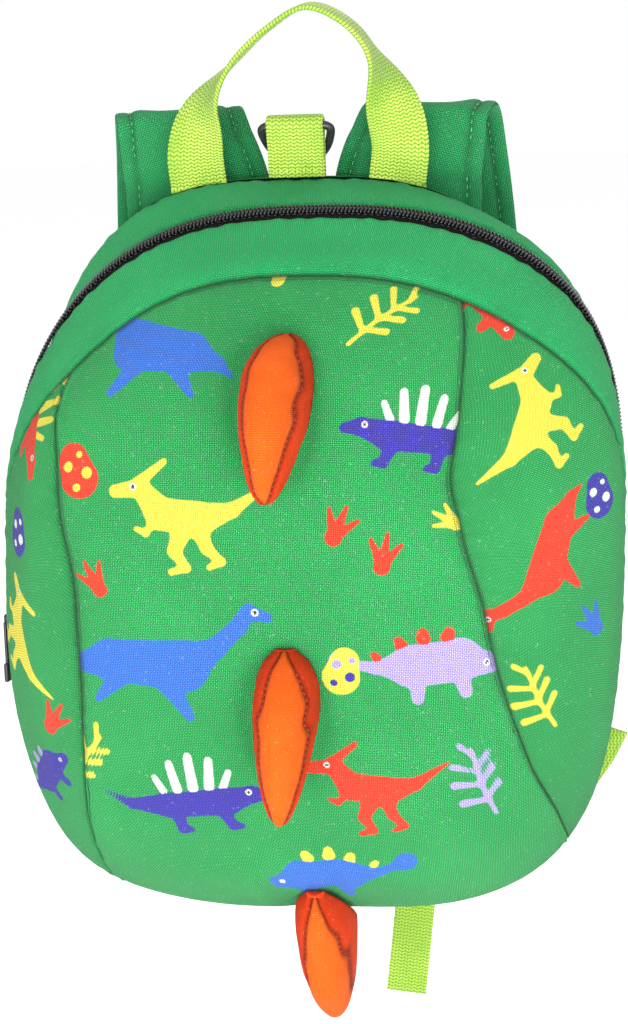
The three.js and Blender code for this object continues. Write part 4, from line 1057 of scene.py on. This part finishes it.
def spikePiece(name, startAlong, direction, angle, seedNumber, shift, slim, short):
    run = runLengths([angle])[0]
    start = float(np.interp(startAlong, alongGrid, run))
    at = np.concatenate([[0, 0.006, 0.02, 0.04], np.linspace(0.065, 0.94, 62), [0.965, 0.985, 0.996, 1.0]])
    read = {key: readTable(spikeRows["at"], spikeRows[key], at) for key in spikeRows if key != "at"}
    width = read["width"] * slim * spike["width"]
    along = np.interp(start + direction * at * spike["length"] * short, run, alongGrid)
    out = bodyNormal(angle, along)
    foot = bodyPoint(angle, along) + out * spike["footLift"] + np.array(shift)
    across = np.array([1.0, 0, 0])
    down = np.cross(across, out)
    turn = np.linspace(-90, 90, 65)
    share = np.sin(np.radians(turn)) * (1 + 0.03 * np.cos(np.radians(turn * 2)))
    share = share / np.abs(share).max()
    height = np.cos(np.radians(turn)) ** spike["roundness"]
    half = width[:, None] / 2 * share[None, :]
    lift = height[None, :] * read["reach"][:, None] * spike["reach"]
    local = np.random.default_rng(seedNumber)
    seamAt = {}
    groove = np.zeros_like(half)
    for sign in (-1, 1):
        wander = waves(at * spike["length"], seedNumber + 3 * sign, (19, 11, 7), (0.025, 0.03, 0.02))
        wander = wander * smoothStep(0, 0.2, at) * (1 - smoothStep(0.85, 1, at))
        seamAt[sign] = read["turned"] + sign * np.clip(read["front"] + wander, 0.04, 0.9)
        far = (share[None, :] - seamAt[sign][:, None]) * width[:, None] / 2
        groove += bell(far, spike["grooveWidth"])
    onFront = ((share[None, :] > seamAt[-1][:, None]) & (share[None, :] < seamAt[1][:, None])).astype(float)
    wrinkle = np.zeros_like(half)
    for power, pace, turned in ((0.22, 61, 4 * share ** 2), (0.30, 23, share * 2.3), (0.22, 37, -share * 5)):
        wrinkle = wrinkle + power * np.sin(at[:, None] * pace + turned[None, :] + local.uniform(0, 6))
    dent = (wrinkle * spike["dent"] - groove * spike["grooveDepth"]) / np.maximum(np.hypot(half, lift), 4)
    scale = 1 + dent * height[None, :] ** 0.3
    half, lift = half * scale, lift * scale
    points = (foot[:, None] + across * half[..., None] + out[:, None] * lift[..., None]
              + down[:, None] * (read["lean"][:, None] * lift)[..., None])
    cloth = arcLength(points[len(at) // 2])
    length = at * spike["length"] * 1.15
    bow = 1.6 * (1 - share ** 2)
    uv = np.stack(np.broadcast_arrays(cloth[None, :], length[:, None] + bow[None, :]), -1)
    uv = np.concatenate([uv, uv[:, :1]], 1)
    # painted shade in the seam grooves
    piece = loftPiece(name, points, uv, {"paintedSeamShade": np.clip(groove, 0, 1) ** 1.6})
    # the side faces take the second, darker orange as painted shade
    front = onFront[:-1] * onFront[1:]
    slots = np.zeros(len(piece.data.polygons), np.int32)
    faceFront = (front * np.roll(front, -1, 1)).ravel()
    slots[:len(faceFront)] = 1 - faceFront.astype(np.int32)
    slots[len(faceFront):] = 1
    piece.data.polygons.foreach_set("material_index", slots)
    for sign in (-1, 1):
        spot = np.array([np.interp(seamAt[sign][k], share, np.arange(len(share))) for k in range(len(at))])
        low = np.minimum(spot.astype(int), len(share) - 2)
        part = (spot - low)[:, None]
        row = np.arange(len(at))
        sewn = points[row, low] * (1 - part) + points[row, low + 1] * part
        middle = foot + out * (lift.max(1) * 0.4)[:, None]
        stitchSets["spike"].append((sewn[8:-3], unit(sewn - middle)[8:-3]))
    return piece


# Start, direction along the cloth, angle, seed, shift in mm, share of the width, share of the length
spikePlaces = {
    "spikeTop": (alongReached(90, lambda p: p[:, 2] < 84), 1, 90, 11, (1.5, 0, -4.0), 0.92, 0.97),
    "spikeMiddle": (alongReached(-90, lambda p: p[:, 2] > -23), -1, -90, 12, (1.5, 0, 1.0), 0.86, 0.86),
    "spikeBottom": (alongReached(-90, lambda p: p[:, 1] < -79), -1, -90, 13, (4.5, 0, -2.5), 0.80, 0.98),
}
for name, place in spikePlaces.items():
    piece = spikePiece(name, *place)
    dress(piece, [spikeFrontCloth, spikeShadedSideCloth], name.replace("spike", "spike_").lower())
print("spikes stuffed")

# Zip

zipSetup = {"tapeUnder": 0.9, "groove": 0.5, "toothPitch": 0.66, "tooth": (1.75, 0.46, 0.87),
            "toothOut": 1.05, "toothTilt": 0.28, "stitchOut": 2.75, "stitchSunk": 0.45,
            "tapeEnd": 0.2, "teethEnd": 0.6}
tapeShares = [0, 0.08, 0.2, 0.3, 0.38, 0.44, 0.47, 0.49, 0.5, 0.51, 0.53, 0.56, 0.62, 0.7, 0.8, 0.92, 1]


def beadMesh(name, places, frames, sizes, rings=5, sides=8):
    # many small rounded beads in one mesh: places (N,3), frames (N,3,3) as rows of axes, sizes (3,) or (N,3)
    polar = np.linspace(0, math.pi, rings + 1)[1:-1]
    turns = np.linspace(0, 2 * math.pi, sides, endpoint=False)
    unitPoints = [[0, 0, 1]] + [[math.sin(p) * math.cos(r), math.sin(p) * math.sin(r), math.cos(p)]
                                for p in polar for r in turns] + [[0, 0, -1]]
    unitPoints = np.array(unitPoints)
    last = len(unitPoints) - 1
    faces = []
    for k in range(sides):
        n = (k + 1) % sides
        faces.append([0, 1 + k, 1 + n])
        for ring in range(len(polar) - 1):
            a, b = 1 + ring * sides, 1 + (ring + 1) * sides
            faces += [[a + k, b + k, b + n], [a + k, b + n, a + n]]
        base = 1 + (len(polar) - 1) * sides
        faces.append([base + k, last, base + n])
    faces = np.array(faces)
    scaledPoints = unitPoints[None] * np.broadcast_to(np.asarray(sizes, float), (len(places), 3))[:, None]
    points = np.asarray(places)[:, None] + np.einsum("nkj,njc->nkc", scaledPoints, np.asarray(frames))
    count = len(unitPoints)
    every = (faces[None] + (np.arange(len(places)) * count)[:, None, None]).reshape(-1, 3)
    return meshPiece(name, points.reshape(-1, 3), every)


def zipPieces():
    # the tape with a groove along its middle, and one bead for each tooth over the groove
    under = zipSetup["tapeUnder"]
    low, high = bag["gusset"] - under, bag["gusset"] + bag["zip"] + under
    angles = np.linspace(archStart + zipSetup["tapeEnd"], archEnd - zipSetup["tapeEnd"], 420)
    runs = runLengths(angles)
    shares = np.array(tapeShares)
    distance = np.repeat((low + (high - low) * shares)[None, :], len(angles), 0)
    points, normal = clothGrid(angles, distance, runs)[1:]
    lift = -under - zipSetup["groove"] * bell(shares - 0.5, 0.02)[None, :] + 0 * distance
    lift[:, [0, -1]] -= under
    points = points + normal * lift[..., None]
    around = arcLength(points[:, 8])
    uv = np.stack(np.broadcast_arrays(around[:, None], distance), -1)
    tape = meshPiece("zipTape", points.reshape(-1, 3), gridFaces(len(angles), len(shares)), uv.reshape(-1, 2),
                     {"paintedSeamShade": np.zeros(points.shape[0] * points.shape[1])})
    middle = bag["gusset"] + bag["zip"] / 2
    fine = np.linspace(archStart + zipSetup["teethEnd"], archEnd - zipSetup["teethEnd"], 900)
    middleRuns = np.full((len(fine), 1), middle)
    centre, centreNormal = (part[:, 0] for part in clothGrid(fine, middleRuns, runLengths(fine))[1:])
    length = arcLength(centre)
    stops = np.arange(0, length[-1], zipSetup["toothPitch"])
    here, up = readLine(stops, length, centre), unit(readLine(stops, length, centreNormal))
    ahead = unit(np.gradient(here, axis=0))
    side = np.cross(up, ahead)
    sign = np.where(np.arange(len(stops)) % 2 == 0, 1.0, -1.0)[:, None]
    places = here + side * sign * zipSetup["toothOut"] + up * 0.05
    tilt = sign * zipSetup["toothTilt"]
    frames = np.stack([unit(side + ahead * tilt), unit(ahead - side * tilt), up], 1)
    teeth = beadMesh("zipCoil", places, frames, zipSetup["tooth"])
    for edge in (-1, 1):
        row = here + side * edge * zipSetup["stitchOut"] - up * zipSetup["stitchSunk"]
        stitchSets["zip"].append((row, up))
    return tape, teeth


zipTapePiece, zipTeeth = zipPieces()
dress(zipTapePiece, [zipTapeCloth], "zip_tape")
dress(zipTeeth, [coilPlastic], "zip_coil")
print("zip made")

# Back panel

backSetup = {"seamInset": 7, "seamDepth": 0.9, "channels": (78, 18, -42), "channelDepth": 1.0,
             "channelWidth": 1.8, "channelInset": 8, "stitchSunk": 1.2, "seamWidth": 1.3, "quilting": 0.25,
             "border": 14, "reach": 118, "rows": 84}
# Inset and depth of its rounded edge
backEdge = [(0, -5), (0, -2.6), (0.5, -1.2), (1.2, -0.5), (2.2, -0.15), (3.4, 0)]


def levelRow(halfWidth, depth, height, facing, count=80):
    # a level row of stitches and the way it faces
    across = np.linspace(-halfWidth, halfWidth, count)
    line = np.stack([across, np.full(count, depth), np.full(count, height)], -1)
    return line, np.repeat([[0, facing, 0]], count, 0)


def backPanelPiece(name):
    # rows follow the outline at the border and close in to the middle behind it
    angles = np.linspace(0, 360, 400, endpoint=False)
    edge = bodyPoint(angles, 0.0)[:, [0, 2]] - [0, bag["widest"]]
    radius = np.linalg.norm(edge, axis=1)
    border, reach, count = backSetup["border"], backSetup["reach"], backSetup["rows"]
    inset = np.concatenate([[row[0] for row in backEdge], np.linspace(4.6, reach, count)])
    depth = np.concatenate([[row[1] for row in backEdge], np.zeros(count)])
    share = np.where(inset[:, None] < border, 1 - inset[:, None] / radius[None, :],
                     (1 - border / radius[None, :]) * (1 - (inset[:, None] - border) / (reach - border)))
    x, z = edge[:, 0][None, :] * share, edge[:, 1][None, :] * share + bag["widest"]
    fromEdge = radius[None, :] * (1 - share)
    y = np.repeat(depth[:, None], len(angles), 1)
    y = y - backSetup["seamDepth"] * bell(fromEdge - backSetup["seamInset"], backSetup["seamWidth"])
    for height in backSetup["channels"]:
        channel = bell(z - height, backSetup["channelWidth"])
        y = y - backSetup["channelDepth"] * channel * smoothStep(6, 8, fromEdge)
    puffs = 1 + np.sin(x / 9 + z / 13) * np.sin(z / 7)
    y = y - backSetup["quilting"] * puffs * smoothStep(3, 12, fromEdge)
    points = np.stack([x, y, z], -1)
    rows, columns = points.shape[:2]
    faces = gridFaces(rows, columns, closed=True)
    # painted shade along the stitched seam
    near = np.exp(-np.abs(fromEdge - backSetup["seamInset"]) / 1.1)
    uv = np.stack([x.ravel(), z.ravel() + y.ravel()], -1)
    piece = meshPiece(name, points.reshape(-1, 3), faces, uv, {"paintedSeamShade": near.ravel() * 0.8})
    ring = int(np.argmin(np.abs(inset - backSetup["seamInset"])))
    outline = np.vstack([points[ring], points[ring][:1]])
    stitchSets["back"].append((outline, np.repeat([[0, 1.0, 0]], columns + 1, 0)))
    for height in backSetup["channels"]:
        nearest = np.argmin(np.abs(edge[:, 1] + bag["widest"] - height))
        halfWidth = float(np.abs(edge[nearest, 0])) - backSetup["channelInset"]
        stitchSets["back"].append(levelRow(halfWidth, -backSetup["stitchSunk"], height, 1.0))
    return piece


backPanel = backPanelPiece("backPanel")
dress(backPanel, [strapCloth], "back_panel")

# Ladder locks, their keepers, the anchors at the back seam and the adjusting webbing

lock = {"width": 24, "slot": 5.2, "bar": 4, "thick": 3, "keeper": 8, "longTail": -190, "shortTail": -112,
        "anchorReach": 111, "anchorHeight": -80, "anchorThick": 2.2, "round": 0.8}
anchorCorners = [(0, 0), (-5, -10), (-14, -23)]  # from the outermost corner, in x and z
anchorSeam = [-58.0, -55, -50, -45]  # degrees on the back seam
# Share of its outline and height of its face
anchorRows = [(1, -0.5), (1, -0.2), (0.985, 0), (0.94, 0.08), (0.9, -0.12), (0.86, 0.08), (0.6, 0.1),
              (0.3, 0.1), (0.02, 0.1)]
lockX, lockY = strapRows[-1][0] * strap["width"], strapRows[-1][1] * strap["bow"]
topBar = strap["end"] - lock["keeper"]
middleBar = topBar - lock["bar"] - lock["slot"]
bottomBar = middleBar - lock["bar"] - lock["slot"]
lockTop, lockBottom = topBar + lock["bar"] / 2, bottomBar - lock["bar"] / 2


def softBox(name, low, high, roundness, segments=3):
    # a moulded bar: a box with rounded edges
    low, high = np.array(low, float), np.array(high, float)
    corners = [[x, y, z] for x in (0, 1) for y in (0, 1) for z in (0, 1)]
    corners = np.array(corners, float) * (high - low) + low
    faces = [[0, 1, 3, 2], [4, 6, 7, 5], [0, 4, 5, 1], [2, 3, 7, 6], [0, 2, 6, 4], [1, 5, 7, 3]]
    piece = meshPiece(name, corners, faces, smooth=False)
    bevel = piece.modifiers.new("round", "BEVEL")
    bevel.width, bevel.segments = roundness * mm, segments
    return piece


def joinPieces(name, parts):
    # applies each part's modifiers and joins them into one piece
    depsgraph = bpy.context.evaluated_depsgraph_get()
    allPoints, allFaces, start = [], [], 0
    for part in parts:
        made = part.evaluated_get(depsgraph).to_mesh()
        points = np.zeros(len(made.vertices) * 3)
        made.vertices.foreach_get("co", points)
        allPoints.append(points.reshape(-1, 3) / mm)
        allFaces += [[v + start for v in face.vertices] for face in made.polygons]
        start += len(made.vertices)
        bpy.data.objects.remove(part)
    piece = meshPiece(name, np.vstack(allPoints), allFaces)
    piece.data.set_sharp_from_angle(angle=math.radians(50))
    return piece


def ladderLock(name, side):
    # three bars between two rails
    y0, y1, half = lockY - lock["thick"] / 2, lockY + lock["thick"] / 2, lock["width"] / 2
    inner = webbing["narrowWidth"] / 2 + 1
    x = side * lockX
    parts = []
    for k, bar in enumerate((topBar, middleBar, bottomBar)):
        low, high = bar - lock["bar"] / 2, bar + lock["bar"] / 2
        near, far = (x - inner - 1, y0 + 0.05, low), (x + inner + 1, y1 - 0.05, high)
        parts.append(softBox(f"bar{k}", near, far, lock["round"]))
    for k, (a, b) in enumerate(((-half, -inner), (inner, half))):
        parts.append(softBox(f"rail{k}", (x + a, y0, lockBottom), (x + b, y1, lockTop), lock["round"]))
    bpy.context.view_layer.update()
    return joinPieces(name, parts)


def anchorPiece(name, side):
    # a folded triangle of webbing: its outline drawn in row by row on both faces
    seam = bodyPoint(np.array(anchorSeam), 0.0)
    seam = seam + unit(seam - np.array([0, seam[0, 1], bag["widest"]])) * webbing["footGap"]
    outline = [(lock["anchorReach"] + x, lock["anchorHeight"] + z) for x, z in anchorCorners]
    outline = np.array(outline + [(p[0], p[2]) for p in seam])
    steps = np.linspace(0, 1, 14, endpoint=False)
    fine = np.array([mix(a, b, t) for a, b in zip(outline, np.roll(outline, -1, 0)) for t in steps])
    centre = fine.mean(0)
    rows = []
    for inset, depth in anchorRows:
        flat = centre + (fine - centre) * inset
        face = np.full(len(flat), depth - bag["backPad"] / 2)
        rows.append(np.stack([side * flat[:, 0], face, flat[:, 1]], -1))
    mirrored = [row * [1, -1, 1] - [0, bag["backPad"] + lock["anchorThick"], 0] for row in rows]
    rings = np.array(mirrored[::-1] + rows)
    return loftPiece(name, rings, np.concatenate([rings[..., [0, 2]], rings[:, :1, [0, 2]]], 1))


def adjusterPiece(name, side, tailEnd):
    # from the anchor through the ladder lock, over its middle bar and down to the tail's end
    def place(x, y, z):
        return side * x, y, z

    thick, reach, height = webbing["narrowThick"], lock["anchorReach"], lock["anchorHeight"]
    slack = lock["thick"] / 2 + bag["seamGap"] + thick / 2 + 0.2
    slotHeight = middleBar + lock["bar"] / 2 + bag["seamGap"] + thick / 2 + 0.3
    anchored = -bag["backPad"] / 2 + bag["seamGap"] + 0.1 + thick / 2
    control = [place(reach - 10, anchored, height - 6), place(reach - 18, anchored + 0.6, height - 6),
               place(reach - 28, anchored + 4.6, height - 9), place(lockX + 20, lockY * 0.36, height - 14),
               place(lockX + 5, lockY * 0.72, height - 4), place(lockX, lockY - slack - 0.4, lockBottom - 2),
               place(lockX, lockY - slack, middleBar), place(lockX, lockY - slack + 0.1, slotHeight - 0.9),
               place(lockX, lockY - slack / 2, slotHeight), place(lockX, lockY + slack / 2, slotHeight),
               place(lockX, lockY + slack - 0.1, slotHeight - 0.9), place(lockX, lockY + slack, middleBar),
               place(lockX, lockY + slack + 0.4, lockBottom - 2),
               place(lockX - 3, lockY + 1, mix(lockBottom, tailEnd, 0.3)),
               place(lockX - 8, lockY - 4, mix(lockBottom, tailEnd, 0.65)),
               place(lockX - 13, lockY - 9, tailEnd)]

    def across(t, ahead):
        atAnchor = np.cross([0, 1.0, 0], ahead) * side
        return mix(atAnchor, np.array([-side, 0, 0]), float(smoothStep(0.2, 0.33, t)))

    return webPiece(name, control, across, webbing["narrowWidth"], thick, 320, seedNumber=40 + side)


for sideName, side, tail in (("Right", 1, lock["longTail"]), ("Left", -1, lock["shortTail"])):
    low = sideName.lower()
    dress(ladderLock("ladderLock" + sideName, side), [blackPlastic], "buckle_" + low)
    dress(anchorPiece("anchor" + sideName, side), [limeWebbing], "anchor_" + low)
    dress(adjusterPiece("adjuster" + sideName, side, tail), [limeWebbing], "adjuster_" + low)
    foot, bar = (side * lockX, lockY, strap["end"] - webbing["footGap"]), (side * lockX, lockY, topBar)
    keeperLine = foldedLine(foot, bar, math.hypot(lock["bar"], lock["thick"]) / 2, webbing["narrowThick"])
    keeper = webPiece("keeper" + sideName, keeperLine, alongX, webbing["narrowWidth"],
                      webbing["narrowThick"], 90)
    dress(keeper, [limeWebbing], "buckle_keeper_" + low)
print("back, anchors and ladder locks made")

# Ring

ringSetup = {"bar": 3, "width": 27, "drop": 17, "rest": 36, "corner": 2}


def ringPiece(name):
    # a round bar bent to a D: straight through the tab, with a bow below it, turned out by its rest angle
    half, radius = (ringSetup["width"] - ringSetup["bar"]) / 2, ringSetup["bar"] / 2
    line = [(s * (half - ringSetup["corner"]), 0, 0) for s in (-1, -0.5, 0, 0.5, 1)]
    for turn in range(0, 181, 18):
        a = math.radians(turn)
        line.append((half * math.cos(a), 0, -radius - (ringSetup["drop"] - radius) * math.sin(a)))
    count = len(line)
    looped = line[-3:] + line + line[:4]
    at = (3 + np.arange(0, count, 0.2)) / (len(looped) - 1)
    points = curvePoints(looped, at)
    ahead = unit(np.roll(points, -1, 0) - np.roll(points, 1, 0))
    outward = np.cross([0, 1.0, 0], ahead)
    turns = np.radians(np.arange(0, 360, 22.5))
    tube = (points[:, None] + outward[:, None] * (radius * np.cos(turns))[None, :, None]
            + np.array([0, 1.0, 0])[None, None] * (radius * np.sin(turns))[None, :, None])
    c, s = math.cos(math.radians(ringSetup["rest"])), math.sin(math.radians(ringSetup["rest"]))
    y, z = tube[..., 1] * c - tube[..., 2] * s, tube[..., 1] * s + tube[..., 2] * c
    tube = np.stack([tube[..., 0], y + webLine, z + tabFold], -1)
    rows, columns = tube.shape[:2]
    r, k = np.meshgrid(np.arange(rows), np.arange(columns), indexing="ij")
    n, m = (r + 1) % rows, (k + 1) % columns
    faces = np.stack([r * columns + k, n * columns + k, n * columns + m, r * columns + m], -1).reshape(-1, 4)
    return meshPiece(name, tube.reshape(-1, 3), faces)


dress(ringPiece("leashRing"), [blackPlastic], "leash_ring", body="ring")


# Zip slider: boxes across, out and along the zip, with the rounding of their edges

sliderSetup = {"angle": 202.0, "lift": 2.4, "boxes": [
    ("plate", (-5, 0, -4), (5, 1.6, 4), 0.7), ("bridge", (-3.4, 1.2, -1.1), (3.4, 4, 1.1), 0.6),
    ("pull", (-1, 2.4, -2.6), (21, 3.6, 2.6), 0.55), ("tip", (14, 2.2, -3.6), (21, 3.9, 3.6), 0.7)]}


def sliderPiece(name):
    angle = sliderSetup["angle"]
    along = float(np.interp(bag["gusset"] + bag["zip"] / 2, runLengths([angle])[0], alongGrid))
    up = bodyNormal(angle, along)
    ahead = unit(bodyPoint(angle + 1, along) - bodyPoint(angle - 1, along))
    place = (bodyPoint(angle, along) + up * sliderSetup["lift"]) * mm
    parts = [softBox(*box) for box in sliderSetup["boxes"]]
    bpy.context.view_layer.update()
    piece = joinPieces(name, parts)
    columns = np.stack([ahead, up, unit(np.cross(ahead, up)), place], 1)
    piece.data.transform(Matrix([*columns.tolist(), [0, 0, 0, 1]]))
    return piece


dress(sliderPiece("zipSlider"), [blackPlastic], "zip_slider")

# Stitches: small beads in rows, one piece for each thread

stitchLooks = {  # pitch, length, thickness, sunk below the line, thread, slot
    "strap": (2.9, 2.1, 0.42, 0.05, greenThread, "strap_cloth"),
    "back": (3.0, 2.2, 0.42, 0.05, greenThread, "green_cloth"),
    "spike": (2.3, 1.4, 0.56, 0.0, darkThread, "orange_cloth"),
    "zip": (2.2, 1.5, 0.34, 0.0, coilPlastic, "zip"),
    "tab": (2.0, 1.5, 0.40, 0.0, limeThread, "lime_webbing"),
}
tabRows = {"heights": (2.6, 4.4), "halfWidth": 8.5, "out": 2.2, "count": 30}


def stitchRow(line, ups, pitch):
    length = arcLength(line)
    stops = np.arange(pitch / 2, length[-1], pitch)
    here, up = readLine(stops, length, line), unit(readLine(stops, length, ups))
    if len(stops) < 2:
        return here[:0], np.zeros((0, 3, 3))
    ahead = unit(np.gradient(here, axis=0))
    side = unit(np.cross(up, ahead))
    return here, np.stack([ahead, side, np.cross(ahead, side)], 1)


def sewAll():
    # two rows on the leash tab join the sets that the pieces left
    for height in tabRows["heights"]:
        depth, height = webLine - tabRows["out"], bag["height"] / 2 + height
        row = levelRow(tabRows["halfWidth"], depth, height, -1.0, tabRows["count"])
        stitchSets["tab"].append(row)
    for key, (pitch, size, thick, sunk, thread, slotName) in stitchLooks.items():
        rows = [stitchRow(line - ups * sunk, ups, pitch) for line, ups in stitchSets[key]]
        places = np.vstack([r[0] for r in rows])
        frames = np.vstack([r[1] for r in rows])
        piece = beadMesh(key + "Stitches", places, frames, (size / 2, thick / 2, thick / 2), 4, 6)
        dress(piece, [thread], None)


sewAll()
print("stitched")

# Floor and end

floorData = bpy.data.meshes.new("floor")
reach = studioSetup["floorReach"]
floorData.from_pydata([(-reach, -reach, 0), (reach, -reach, 0), (reach, reach, 0), (-reach, reach, 0)], [],
                      [(0, 1, 2, 3)])
floor = bpy.data.objects.new("floor", floorData)
floor.location.z = studioSetup["floorHeight"]
bpy.context.scene.collection.objects.link(floor)
floorMaterial, floorWiring, floorShader = newMaterial("floor", Roughness=0.9)
floorTone = floorWiring.noise(floorWiring.solidPlace(), 3.0)
floorColour = floorWiring.blend(floorTone, (0.97, 0.97, 0.97, 1), (0.99, 0.99, 0.99, 1))
floorWiring.put(floorShader.inputs["Base Color"], floorColour)
floorData.materials.append(floorMaterial)

bpy.context.view_layer.update()
print("done")
